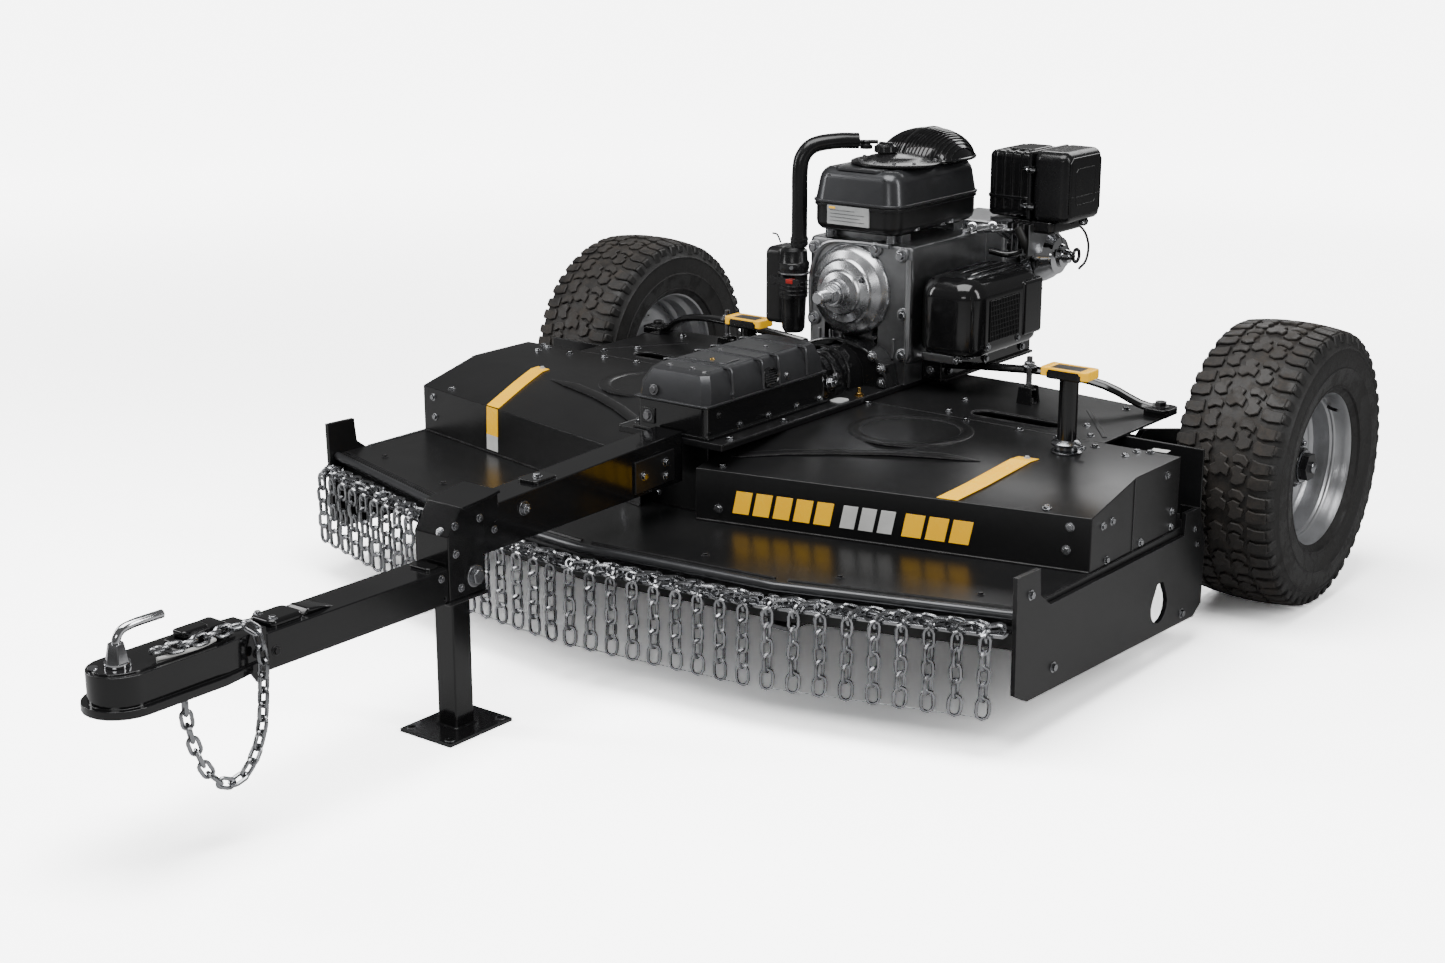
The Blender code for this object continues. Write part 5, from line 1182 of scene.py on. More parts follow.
def make_engine_block():
    plinth = stand_in("engine_base", GLOSS_BLACK, 0.0035, 3)
    low, high = box_of("engine_base")
    for side, face in ((-1, low.x), (1, high.x)):
        plinth.add(block((face - 0.004, low.y + 0.006, high.z - 0.01),
                         (face + 0.004, high.y - 0.006, high.z - 0.0015), 0.002), GLOSS_BLACK)
        plinth.add(block((face - 0.0045, low.y + 0.002, low.z),
                         (face + 0.0075, high.y - 0.002, low.z + 0.006), 0.0018), SATIN_BLACK)
        for y in (-0.195, -0.06, 0.08):
            plinth.bolt((face + side * 0.002, y, 0.383), (side, 0, 0), 0.0058, ZINC, spin=y * 20)
    for x in (-0.095, 0.14):
        plinth.bolt((x, low.y, 0.385), (0, -1, 0), 0.006, ZINC)
    plinth.done()

    case = stand_in("crankcase", CAST_ALUMINIUM, 0.0055, 3)
    low, high = box_of("crankcase")
    front = low.y
    for x, z in ((0.113, 0.612), (0.12, 0.5), (0.119, 0.422), (-0.085, 0.608), (-0.085, 0.47),
                 (0.055, 0.618)):
        pad = turned([(0, -0.02), (0.015, -0.02), (0.0138, 0.0045), (0.0122, 0.0058), (0, 0.0058)],
                     axis="y", steps=20)
        case.add(pad, CAST_ALUMINIUM, Matrix.Translation((x, front, z)) @ Matrix.Rotation(pi, 4, "Z"))
        case.bolt((x, front - 0.0055, z), (0, -1, 0), 0.0072, ZINC, spin=z * 30)
    for z in (0.492, 0.508, 0.524, 0.54, 0.556, 0.572, 0.588, 0.604, 0.62):
        case.add(block((high.x - 0.006, -0.014, z), (high.x + 0.003, high.y - 0.003, z + 0.0045), 0.0014),
                 CAST_ALUMINIUM)
        case.add(block((0.024, high.y - 0.006, z), (high.x - 0.002, high.y + 0.004, z + 0.0045), 0.0014),
                 CAST_ALUMINIUM)
    wheel = [(0, 0), (0.052, 0), (0.052, 0.006), (0.047, 0.012), (0.03, 0.014), (0.026, 0.02),
             (0.012, 0.022), (0, 0.022)]
    case.add(turned(wheel, axis="y", at=(-0.04, 0.059, 0.515), steps=44), GLOSS_BLACK)
    for k in range(6):
        angle = 2 * pi * k / 6
        case.bolt((-0.04 + 0.0445 * cos(angle), 0.0705, 0.515 + 0.0445 * sin(angle)), (0, 1, 0), 0.0048,
                  ZINC, spin=angle)
    for x in (-0.075, -0.05, -0.025, 0.095):
        case.add(block((x, front - 0.0035, 0.413), (x + 0.005, front + 0.004, 0.452), 0.0015),
                 CAST_ALUMINIUM)
    for z in (0.478, 0.512, 0.546, 0.58):
        case.add(block((low.x - 0.004, front + 0.03, z), (low.x + 0.004, 0.03, z + 0.005), 0.0014),
                 CAST_ALUMINIUM)
    shoulder = smooth_line([(-0.094, front + 0.0015, 0.462), (-0.092, front - 0.001, 0.56),
                            (-0.062, front - 0.0015, 0.616), (0.01, front - 0.0015, 0.6262),
                            (0.085, front - 0.0015, 0.6262)], 5)
    case.add(swept(shoulder, 0.0052, 10), CAST_ALUMINIUM)
    edge = smooth_line([(0.128, front - 0.001, 0.425), (0.129, front - 0.002, 0.52),
                        (0.129, front - 0.001, 0.606)], 5)
    case.add(swept(edge, 0.0058, 10), CAST_ALUMINIUM)
    case.add(block((-0.06, -0.25, high.z - 0.003), (0.1, -0.04, high.z + 0.0045), 0.003), CAST_ALUMINIUM)
    for x, y in ((-0.055, -0.24), (0.088, -0.262), (0.1, -0.13), (-0.055, -0.06)):
        case.bolt((x, y, high.z - 0.0002), (0, 0, 1), 0.0068, ZINC, spin=x * 40)
    for y in (-0.22, -0.1):
        case.add(turned([(0, 0), (0.012, 0), (0.011, 0.012), (0, 0.012)], at=(0.095, y, high.z)),
                 CAST_ALUMINIUM)
    case.done()

    cover = Piece("bearing_cover_look", BODY_OF["bearing_cover"], "bearing_cover")
    low, high = box_of("bearing_cover")
    centre = ((low.x + high.x) / 2, 0, (low.z + high.z) / 2)
    steps = [(0.0135, -0.2853), (0.0885, -0.2853), (0.0885, -0.2885), (0.0855, -0.293), (0.08, -0.3),
             (0.0785, -0.301), (0.076, -0.303), (0.064, -0.3085), (0.06, -0.3115), (0.0585, -0.315),
             (0.048, -0.319), (0.044, -0.3215), (0.0425, -0.326), (0.04, -0.329), (0.038, -0.3295),
             (0.028, -0.333), (0.0265, -0.338), (0.0245, -0.3462), (0.023, -0.3473), (0.015, -0.3473),
             (0.0135, -0.3455)]
    ring = turned([(r, -y) for r, y in steps], axis="y", steps=64, ring=True)
    cover.add(ring, MACHINED, Matrix.Translation(centre) @ Matrix.Rotation(pi, 4, "Z"))
    for k in range(2):
        angle = pi * k + 0.55
        at = (centre[0] + 0.0515 * cos(angle), -0.3165, centre[2] + 0.0515 * sin(angle))
        cover.bolt(at, (0, -1, 0), 0.0052, ZINC, spin=angle)
    cover.done()

    shaft = Piece("crankshaft_look", BODY_OF["crankshaft"], "crankshaft")
    shaft.add(solid_copy("crankshaft", 0.0004, 1), MACHINED)
    for y, radius, long in ((-0.3495, 0.0215, 0.007), (-0.3565, 0.0182, 0.0075), (-0.364, 0.016, 0.006)):
        nut = bmesh.new()
        sides = 6 if radius < 0.02 else 28
        bmesh.ops.create_cone(nut, cap_ends=True, segments=sides, radius1=radius,
                              radius2=radius, depth=long)
        soften(nut, corner_edges(nut, 50), 0.0012, 2)
        shaft.add(nut, MACHINED, Matrix.Translation((centre[0], y - long / 2 + 0.001, centre[2]))
                  @ Matrix.Rotation(pi / 2, 4, "X"))
    for k in range(9):
        y = -0.374 - 0.0026 * k
        shaft.add(turned([(0.012, -0.0011), (0.0134, 0), (0.012, 0.0011)], axis="y",
                         at=(centre[0], y, centre[2]), steps=20, ring=True), MACHINED)
    shaft.done()
    head = stand_in("drive_shaft", STEEL, 0.0006)
    head.done()


def make_shroud():
    """Smooth blower housing with a sharp ridge, a fine grille beside it and a stepped rear end."""
    shroud = Piece("engine_shroud_look", BODY_OF["engine_shroud"], "engine_shroud")
    low, high = box_of("engine_shroud")
    body = pillow(low, high, 0.046, 0.038, 0.018, 7)
    shroud.add(body, GLOSS_BLACK)
    ridge = smooth_line([(high.x - 0.016, low.y + 0.015, low.z + 0.014),
                         (high.x - 0.013, low.y + 0.013, low.z + 0.04),
                         (high.x - 0.013, low.y + 0.013, high.z - 0.044),
                         (high.x - 0.03, low.y + 0.024, high.z - 0.01),
                         (high.x - 0.05, low.y + 0.06, high.z - 0.001),
                         (high.x - 0.06, high.y - 0.06, high.z - 0.0005)], 6)
    shroud.add(swept(ridge, 0.003, 8), GLOSS_BLACK)
    near, far, down, up = low.y + 0.056, low.y + 0.16, low.z + 0.028, high.z - 0.042
    shroud.add(block((high.x - 0.002, near, down), (high.x + 0.0006, far, up), 0.0008, 1), BLACK_PLASTIC)
    for k in range(19):
        y = near + (far - near) * k / 18
        shroud.add(block((high.x, y - 0.0009, down), (high.x + 0.0026, y + 0.0009, up), 0.0004, 1),
                   BLACK_PLASTIC)
    for k in range(9):
        z = down + (up - down) * k / 8
        shroud.add(block((high.x, near, z - 0.0008), (high.x + 0.0022, far, z + 0.0008), 0.0004, 1),
                   BLACK_PLASTIC)
    shroud.add(pillow((high.x - 0.07, far + 0.014, low.z + 0.018),
                      (high.x + 0.0035, high.y - 0.01, high.z - 0.022), 0.01, 0.008, 0.006), GLOSS_BLACK)
    for k in range(3):
        x = low.x + 0.03 + 0.026 * k
        crease = smooth_line([(x, low.y + 0.022, high.z - 0.006),
                              (x + 0.004, low.y + 0.09, high.z + 0.0006),
                              (x + 0.006, high.y - 0.05, high.z + 0.0004)], 4)
        shroud.add(swept(crease, 0.004, 8, flat=0.5), GLOSS_BLACK)
    for y, z in ((low.y + 0.052, low.z + 0.0195), (high.y - 0.1, low.z + 0.0195)):
        shroud.bolt((high.x - 0.0004, y, z), (1, 0, 0), 0.0052, ZINC, spin=y * 30)
    shroud.done()
    under = Piece("shroud_brackets", "frame")
    for y in (-0.262, -0.215, -0.15, -0.08):
        under.add(block((0.15, y - 0.008, low.z - 0.014), (0.222, y + 0.008, low.z + 0.002), 0.0025),
                  CAST_ALUMINIUM)
        under.bolt((0.2225, y, low.z - 0.007), (1, 0, 0), 0.006, MACHINED, stud=0.012, spin=y * 30)
    under.add(swept(smooth_line([(0.14, -0.268, low.z - 0.006), (0.19, -0.245, low.z - 0.011),
                                 (0.215, -0.18, low.z - 0.012), (0.212, -0.06, low.z - 0.01)], 5), 0.0042,
                    8), CAST_ALUMINIUM)
    under.done()


def make_tank():
    """Pressed fuel tank: graphite upper half with soft ridges, black lower half, rolled seam."""
    tank = Piece("fuel_tank_look", BODY_OF["fuel_tank"], "fuel_tank")
    low, high = box_of("fuel_tank")
    seam = 0.703
    tank.add(pillow((low.x + 0.002, low.y + 0.002, low.z), (high.x - 0.002, high.y - 0.002, seam + 0.004),
                    0.03, 0, 0.018), SATIN_BLACK)
    upper = pillow((low.x, low.y, seam - 0.001), (high.x, high.y, high.z), 0.032, 0.021, 0)
    for vert in upper.verts:
        rise = max(0.0, (vert.co.z - seam) / (high.z - seam))
        vert.co.x += ((low.x + high.x) / 2 - vert.co.x) * 0.1 * rise
        vert.co.y += ((low.y + high.y) / 2 - vert.co.y) * 0.055 * rise
    tank.add(upper, GRAPHITE)
    lip = pillow((low.x - 0.003, low.y - 0.003, seam - 0.0035),
                 (high.x + 0.003, high.y + 0.003, seam + 0.0015), 0.034, 0.0014, 0.0014)
    tank.add(lip, GRAPHITE)
    tank.add(pillow((low.x - 0.0012, low.y - 0.0012, seam - 0.0105),
                    (high.x + 0.0012, high.y + 0.0012, seam - 0.0055), 0.032, 0.001, 0.001), SATIN_BLACK)
    for x in (low.x + 0.04, high.x - 0.034):
        swell = smooth_line([(x, low.y + 0.008, high.z - 0.016), (x + 0.003, low.y + 0.032, high.z - 0.003),
                             (x + 0.004, low.y + 0.06, high.z - 0.0005)], 4)
        tank.add(swept(swell, 0.0055, 10, flat=0.45), GRAPHITE)
    tank.add(pillow((low.x + 0.046, low.y + 0.012, high.z - 0.004),
                    (high.x - 0.046, high.y - 0.1, high.z + 0.0018), 0.014, 0.002, 0), GRAPHITE)
    plate = [(-0.0445, 0.66), (0.05, 0.66), (0.05, 0.696), (-0.0445, 0.696)]
    tank.add(prism(plate, "y", low.y - 0.0016, low.y + 0.004, 0.0006), PALE)
    for k, (start, end) in enumerate(((-0.038, 0.04), (-0.038, 0.03), (-0.038, 0.04), (-0.038, 0.018))):
        z = 0.667 + 0.0066 * k
        tank.add(block((start, low.y - 0.002, z), (end, low.y - 0.0012, z + 0.0012), 0.0002, 1), STEEL)
    tank.add(block((-0.04, low.y - 0.0021, 0.6895), (-0.026, low.y - 0.0012, 0.6935), 0.0003, 1), YELLOW)
    for x, y in ((low.x + 0.03, low.y + 0.03), (high.x - 0.03, low.y + 0.03), (low.x + 0.03, high.y - 0.03),
                 (high.x - 0.03, high.y - 0.03)):
        tank.add(turned([(0, 0), (0.01, 0), (0.009, 0.016), (0, 0.016)], at=(x, y, low.z - 0.0145)), ZINC)
    tank.done()


def make_fan_and_cap():
    dome = Piece("fan_dome_look", BODY_OF["fan_dome"], "fan_dome")
    disc_at = (0.032, -0.188, 0.7655)
    dome.add(turned([(0, 0), (0.078, 0), (0.0865, 0.004), (0.0865, 0.0065), (0.082, 0.0085), (0.06, 0.0105),
                     (0.052, 0.0155), (0.044, 0.017), (0.03, 0.0205), (0, 0.0215)], at=disc_at, steps=56),
             BLACK_PLASTIC)
    for k in range(12):
        angle = 2 * pi * k / 12
        dome.bolt((disc_at[0] + 0.073 * cos(angle), disc_at[1] + 0.073 * sin(angle), disc_at[2] + 0.009),
                  (0, 0, 1), 0.0034, STEEL, spin=angle)
    for k in range(7):
        angle = pi * (0.62 + 0.13 * k)
        dome.bolt((disc_at[0] + 0.08 * cos(angle), disc_at[1] + 0.08 * sin(angle), disc_at[2] - 0.0055),
                  (0, 0, 1), 0.005, ZINC, spin=angle)
    centre, half = Vector((0.028, -0.072, 0.7655)), Vector((0.088, 0.1, 0.058))
    bowl = [(cos(pi / 2 * k / 12), sin(pi / 2 * k / 12)) for k in range(13)]
    shell = turned([(0, 0)] + [(r * 0.985, h * 0.975) for r, h in bowl[:-1]] + [(0, 0.975)], steps=56)
    bmesh.ops.scale(shell, vec=half, verts=shell.verts)
    dome.add(shell, GLOSS_BLACK, Matrix.Translation(centre))
    rows = 25
    for k in range(rows):
        x = -0.9 + 1.8 * k / (rows - 1)
        wide = sqrt(1 - x * x)
        arc = [(x * half.x, wide * half.y * cos(a), wide * half.z * sin(a))
               for a in [pi * (0.04 + 0.92 * n / 14) for n in range(15)]]
        dome.add(swept([centre + Vector(p) for p in arc], 0.0013, 5), GLOSS_BLACK)
    band = [centre + Vector((half.x * cos(a) * 1.005, half.y * sin(a) * 1.005, 0.004))
            for a in angles_round(40)]
    dome.add(swept(band, 0.0035, 8, closed=True), GLOSS_BLACK)
    spine = [centre + Vector((0, half.y * cos(a) * 1.005, half.z * sin(a) * 1.0))
             for a in [pi * n / 18 for n in range(19)]]
    dome.add(swept(spine, 0.003, 8), GLOSS_BLACK)
    dome.done()

    cap = Piece("fuel_cap_look", BODY_OF["fuel_cap"], "fuel_cap")
    low, high = box_of("fuel_cap")
    middle = (low + high) / 2
    cap.add(turned([(0, low.z), (0.02, low.z), (0.0215, low.z + 0.002), (0.0205, high.z - 0.004),
                    (0.017, high.z - 0.001), (0, high.z)], at=(middle.x, middle.y, 0), steps=36),
            BLACK_PLASTIC)
    for k in range(18):
        angle = 2 * pi * k / 18
        at = Vector((middle.x + 0.0208 * cos(angle), middle.y + 0.0208 * sin(angle), 0))
        cap.add(rod(at + Vector((0, 0, low.z + 0.001)), at + Vector((0, 0, high.z - 0.004)), 0.0013, 6),
                BLACK_PLASTIC)
    cap.add(block((middle.x - 0.015, middle.y - 0.0035, high.z - 0.003),
                  (middle.x + 0.015, middle.y + 0.0035, high.z + 0.0035), 0.002), BLACK_PLASTIC)
    cap.done()


def make_filter():
    box = Piece("air_filter_look", BODY_OF["air_filter"], "air_filter")
    low, high = box_of("air_filter")
    split = low.x + 0.1
    box.add(pillow((low.x, low.y + 0.006, low.z + 0.004), (split + 0.004, high.y - 0.006, high.z - 0.006),
                   0.016, 0.012, 0.01), GLOSS_BLACK)
    for k in range(5):
        x = low.x + 0.018 + 0.019 * k
        path = [(x, low.y + 0.0065, low.z + 0.02), (x, low.y + 0.0065, high.z - 0.02),
                (x, low.y + 0.014, high.z - 0.0085), (x, low.y + 0.03, high.z - 0.0062),
                (x, high.y - 0.03, high.z - 0.0062)]
        box.add(swept(smooth_line(path, 3), 0.0036, 8, flat=0.6), GLOSS_BLACK)
    box.add(pillow((low.x - 0.0015, low.y + 0.004, low.z + 0.04),
                   (split + 0.001, high.y - 0.004, low.z + 0.046), 0.016, 0.001, 0.001), GLOSS_BLACK)
    box.add(pillow((split, low.y, low.z), (high.x, high.y, high.z), 0.02, 0.018, 0.014), BLACK_PLASTIC)
    box.add(pillow((split - 0.006, low.y - 0.002, low.z + 0.004),
                   (split + 0.001, high.y + 0.002, high.z - 0.002), 0.003, 0.003, 0.003), BLACK_PLASTIC)
    for inset, depth in ((0.012, 0.0012), (0.034, 0.0016)):
        loop = []
        for y, z in ((low.y + inset, low.z + inset), (high.y - inset, low.z + inset),
                     (high.y - inset, high.z - inset), (low.y + inset, high.z - inset)):
            loop.append((high.x - 0.0008, y, z))
        rows = [Vector(p).lerp(Vector(q), t) for p, q in zip(loop, loop[1:] + loop[:1])
                for t in (0.08, 0.5, 0.92)]
        box.add(swept(rows, depth, 6, closed=True), BLACK_PLASTIC)
    box.add(swept([(high.x - 0.0006, low.y + 0.016, low.z + 0.05),
                   (high.x - 0.0006, high.y - 0.016, low.z + 0.05)], 0.0014, 6), BLACK_PLASTIC)
    for z in (low.z + 0.03, high.z - 0.036):
        clip = smooth_line([(split - 0.02, low.y + 0.002, z), (split - 0.006, low.y - 0.004, z),
                            (split + 0.01, low.y - 0.0015, z)], 4)
        box.add(swept(clip, 0.0028, 8), CHROME)
        box.add(block((split - 0.004, low.y - 0.0045, z - 0.007), (split + 0.008, low.y + 0.002, z + 0.007),
                      0.0015), GLOSS_BLACK)
    box.add(pillow((low.x + 0.03, low.y + 0.03, high.z - 0.008),
                   (split - 0.014, high.y - 0.03, high.z - 0.002), 0.01, 0.003, 0), GLOSS_BLACK)
    box.done()


def make_carburettor():
    """Round bright body with a spring toggle and cable loop, fins, pipes and clips round it."""
    body = Piece("muffler_look", BODY_OF["muffler"], "muffler")
    low, high = box_of("muffler")
    middle = (low + high) / 2
    profile = [(0, 0.0), (0.04, 0.0), (0.048, 0.004), (0.05, 0.01), (0.05, 0.024), (0.0535, 0.028),
               (0.054, 0.034), (0.052, 0.039), (0.046, 0.05), (0.038, 0.06), (0.036, 0.066), (0.024, 0.07),
               (0.022, 0.077), (0.014, 0.079), (0.0125, 0.088), (0.007, 0.09), (0.0065, 0.0965), (0, 0.097)]
    body.add(turned(profile, axis="x", at=(low.x, middle.y, middle.z), steps=56), CHROME)
    for k in range(6):
        angle = 2 * pi * k / 6 + 0.3
        body.bolt((low.x + 0.037, middle.y + 0.0475 * cos(angle), middle.z + 0.0475 * sin(angle)),
                  (1, 0, 0), 0.0042, ZINC, spin=angle)
    body.done()
    fittings = Piece("carburettor_fittings", "frame")
    grip = [(0.28, middle.y + 0.012 * cos(a), middle.z + 0.0125 * sin(a) + 0.004) for a in angles_round(20)]
    fittings.add(swept(grip, 0.0034, 8, closed=True), BLACK_PLASTIC)
    cable = smooth_line([(0.25, 0.112, 0.64), (0.268, 0.128, 0.622), (0.276, 0.136, 0.592),
                         (0.276, 0.128, 0.562), (0.272, 0.108, 0.548)], 5)
    fittings.add(swept(cable, 0.0026, 8), RUBBER)
    for k in range(7):
        x = 0.15 + 0.0125 * k
        fittings.add(block((x, -0.015, 0.585), (x + 0.0035, 0.06, 0.646), 0.0012), CAST_ALUMINIUM)
    for k in range(6):
        start = Vector((0.118 + 0.01 * k, -0.082 + 0.01 * k, 0.632))
        middle_point = Vector((0.15 + 0.01 * k, -0.045 + 0.008 * k, 0.6405 - 0.003 * k))
        end = Vector((0.186 + 0.006 * k, 0.0 + 0.006 * k, 0.606 - 0.006 * k))
        fittings.add(swept(smooth_line([start, middle_point, end], 6), 0.0042, 8),
                     CHROME if k % 2 else MACHINED)
    fittings.add(swept(smooth_line([(0.205, -0.02, 0.64), (0.216, -0.014, 0.612), (0.214, 0.004, 0.588),
                                    (0.198, 0.03, 0.578)], 6), 0.0085, 12), RUBBER)
    fittings.add(swept(smooth_line([(0.15, -0.03, 0.59), (0.19, -0.022, 0.586), (0.214, 0.01, 0.6),
                                    (0.218, 0.05, 0.628)], 6), 0.0065, 12), GLOSS_BLACK)
    for at in ((0.16, -0.04, 0.64), (0.132, -0.07, 0.64), (0.225, 0.02, 0.642), (0.25, 0.06, 0.64),
               (0.282, 0.1, 0.644)):
        fittings.bolt(at, (0.3, -0.8, 0.4), 0.0068, CHROME, stud=0.012, spin=at[0] * 30)
    fittings.add(pillow((0.18, 0.0, 0.628), (0.27, 0.12, 0.652), 0.012, 0.004, 0.006), GLOSS_BLACK)
    fittings.add(turned([(0, 0), (0.026, 0), (0.028, 0.004), (0.028, 0.02), (0.024, 0.024), (0, 0.024)],
                        at=(0.232, 0.06, 0.626), steps=32), MACHINED)
    fittings.done()


def make_canister():
    can = Piece("canister_look", BODY_OF["canister"], "canister")
    low, high = box_of("canister")
    middle = (low + high) / 2
    x, y = middle.x + 0.012, middle.y
    can.add(turned([(0, low.z - 0.036), (0.018, low.z - 0.036), (0.0225, low.z - 0.028),
                    (0.0235, low.z + 0.004), (0.025, low.z + 0.03), (0.0275, low.z + 0.034),
                    (0.0275, high.z - 0.046), (0.03, high.z - 0.042), (0.03, high.z - 0.03),
                    (0.027, high.z - 0.026), (0.0255, high.z - 0.006), (0.018, high.z), (0, high.z)],
                   at=(x + 0.004, y - 0.012, 0), steps=36), BLACK_PLASTIC)
    can.add(pillow((low.x, y - 0.03, low.z - 0.022), (x - 0.008, y + 0.042, high.z - 0.002), 0.014, 0.014,
                   0.01), SATIN_BLACK)
    can.add(swept([(x + 0.004 + 0.0288 * cos(a), y - 0.012 + 0.0288 * sin(a), high.z - 0.05)
                   for a in angles_round(28)], 0.0022, 8, closed=True), STEEL)
    for k in range(4):
        z = low.z + 0.04 + 0.008 * k
        can.add(turned([(0.0272, -0.0012), (0.0286, 0), (0.0272, 0.0012)], at=(x + 0.004, y - 0.012, z),
                       steps=32, ring=True), BLACK_PLASTIC)
    can.bolt((x + 0.016, y - 0.036, high.z - 0.036), (0.4, -0.9, 0), 0.0048, ZINC)
    can.add(swept(smooth_line([(low.x + 0.012, y + 0.01, high.z),
                               (low.x + 0.008, y + 0.004, high.z + 0.016),
                               (low.x + 0.004, y - 0.006, high.z + 0.02)], 4), 0.0018, 6), BLACK_PLASTIC)
    can.done()
    lever = stand_in("throttle_lever", BLACK_PLASTIC, 0.0012)
    low, high = box_of("throttle_lever")
    lever.add(block((high.x - 0.03, low.y - 0.0008, high.z - 0.0125),
                    (high.x - 0.014, high.y + 0.0008, high.z - 0.0035), 0.0015), RED)
    lever.done()


def make_breather():
    """Bent rubber breather hose with clips, and its small bright fitting at the top."""
    route = [(-0.12, -0.29, 0.6053), (-0.12, -0.29, 0.65), (-0.12, -0.29, 0.7), (-0.12, -0.29, 0.748),
             (-0.1165, -0.286, 0.778), (-0.102, -0.27, 0.7995), (-0.071, -0.238, 0.8068),
             (-0.042, -0.208, 0.8065)]
    hose = Piece("breather_pipe_look", BODY_OF["breather_pipe"], "breather_pipe")
    hose.add(swept(smooth_line(route, 5), 0.0152, 20), BLACK_PLASTIC)
    for z in (0.612, 0.62):
        hose.add(turned([(0.015, -0.003), (0.0172, -0.003), (0.0176, 0), (0.0172, 0.003), (0.015, 0.003)],
                        at=(-0.12, -0.29, z), steps=28, ring=True), BLACK_PLASTIC)
    hose.done()
    fitting = Piece("breather_fitting", "frame")
    fitting.add(turned([(0, 0), (0.012, 0), (0.012, 0.006), (0.008, 0.009), (0.008, 0.015), (0, 0.016)],
                       at=(-0.036, -0.19, 0.79), steps=20), BLACK_PLASTIC)
    fitting.bolt((-0.05, -0.184, 0.793), (0, 0, 1), 0.0062, CHROME, stud=0.012)
    fitting.add(rod((-0.05, -0.2, 0.803), (-0.018, -0.176, 0.803), 0.004, 10, 0.001), BLACK_PLASTIC)
    fitting.done()


make_engine_block()
make_shroud()
make_tank()
make_fan_and_cap()
make_filter()
make_carburettor()
make_canister()
make_breather()


# ---------------------------------------------------------------- wheels

TYRE_RADIUS = box_of("right_tyre")[1].z - WHEEL_Z
TREAD_DEPTH = 0.007
PITCHES = 26
# Outlines of tread blocks in millimetres: across the tread from its middle, then round it
CENTRE_BLOCK = [(-17, 5), (-7, 0), (3, 7), (15, 2), (18, 19), (9, 25), (12, 35), (-3, 41), (-14, 33),
                (-10, 23), (-19, 17)]
INNER_BLOCK = [(21, -7), (33, -12), (46, -6), (49, 8), (40, 12), (43, 20), (30, 24), (20, 17), (25, 6)]
FILLER_BLOCK = [(22, 27), (34, 29), (47, 22), (50, 33), (42, 42), (27, 44), (20, 37)]
SHOULDER_BLOCKS = ([(53, -13), (66, -17), (88, -15), (90, 6), (70, 5), (58, 9), (53, 2)],
                   [(54, 16), (64, 12), (86, 14), (87, 33), (68, 34), (56, 38)])


def tread_radius(across):
    return TYRE_RADIUS - TREAD_DEPTH + 0.0015 - 1.05 * across * across


def tread_block(outline, side, turn):
    """A block cut from its outline, its top edge taken off, then bent round the tyre."""
    shape = bmesh.new()
    face = shape.faces.new([shape.verts.new((a / 1000, b / 1000, -0.002)) for a, b in outline])
    made = bmesh.ops.extrude_face_region(shape, geom=[face])["geom"]
    top = [v for v in made if isinstance(v, bmesh.types.BMVert)]
    bmesh.ops.translate(shape, vec=(0, 0, 0.002 + TREAD_DEPTH - 0.0015), verts=top)
    fresh = set(top)
    rim = [e for e in shape.edges if set(e.verts) <= fresh]
    soften(shape, rim, 0.0014, 1)
    for vert in shape.verts:
        across, around, height = vert.co
        radius = tread_radius(across) + height
        angle = turn + around / TYRE_RADIUS
        vert.co = (side * across, radius * sin(angle), radius * cos(angle))
    bmesh.ops.recalc_face_normals(shape, faces=shape.faces)
    return shape


def make_tyre(word, side):
    node = word + "_tyre"
    tyre = Piece(node + "_look", BODY_OF[node], node)
    centre = Matrix.Translation((side * WHEEL_X, 0, WHEEL_Z))
    wall = [(0.142, 0.07), (0.1395, 0.078), (0.1405, 0.0835), (0.1455, 0.0868), (0.15, 0.09),
            (0.1515, 0.0945), (0.1535, 0.095), (0.155, 0.094), (0.164, 0.0965), (0.185, 0.1005),
            (0.187, 0.1022), (0.189, 0.1008), (0.2, 0.1012), (0.215, 0.1005), (0.221, 0.0995),
            (0.223, 0.101), (0.225, 0.0985), (0.235, 0.094), (0.243, 0.089)]
    half = [(radius, across) for radius, across in wall]
    crown = [(tread_radius(a), a) for a in (0.084, 0.06, 0.03, 0.0)]
    outer = half + crown
    inner = [(0.148, 0.068), (0.19, 0.09), (0.23, 0.085), (0.244, 0.06), (0.246, 0.0)]
    profile = outer + [(r, -a) for r, a in reversed(outer[:-1])]
    profile += [(r, -a) for r, a in inner] + [(r, a) for r, a in reversed(inner[:-1])]
    tyre.add(turned(profile, axis="x", steps=104, ring=True), TYRE, centre)
    step = 2 * pi / PITCHES
    for k in range(PITCHES):
        turn = k * step
        tyre.add(tread_block(CENTRE_BLOCK, 1, turn), TYRE, centre)
        for hand, shift in ((1, 0.0), (-1, step * 0.5)):
            for outline in (INNER_BLOCK, FILLER_BLOCK, *SHOULDER_BLOCKS):
                tyre.add(tread_block(outline, hand, turn + shift), TYRE, centre)
            for around, reach in ((-0.004, 0.0205), (0.0245, 0.015)):
                lug = block((0.08, -0.0085, TYRE_RADIUS - 0.012 - reach),
                            (0.0985, 0.0085, TYRE_RADIUS - 0.0105), 0.0022, 1)
                for vert in lug.verts:
                    drop = max(0.0, TYRE_RADIUS - 0.0105 - vert.co.z)
                    if vert.co.x > 0.09:
                        vert.co.x += drop * 0.22 - 0.0055
                roll = Matrix.Rotation(-(turn + shift + around / TYRE_RADIUS), 3, "X")
                bmesh.ops.rotate(lug, matrix=roll, verts=lug.verts)
                if hand < 0:
                    bmesh.ops.scale(lug, vec=(-1, 1, 1), verts=lug.verts)
                    bmesh.ops.recalc_face_normals(lug, faces=lug.faces)
                tyre.add(lug, TYRE, centre)
    tyre.done(weighted=False)


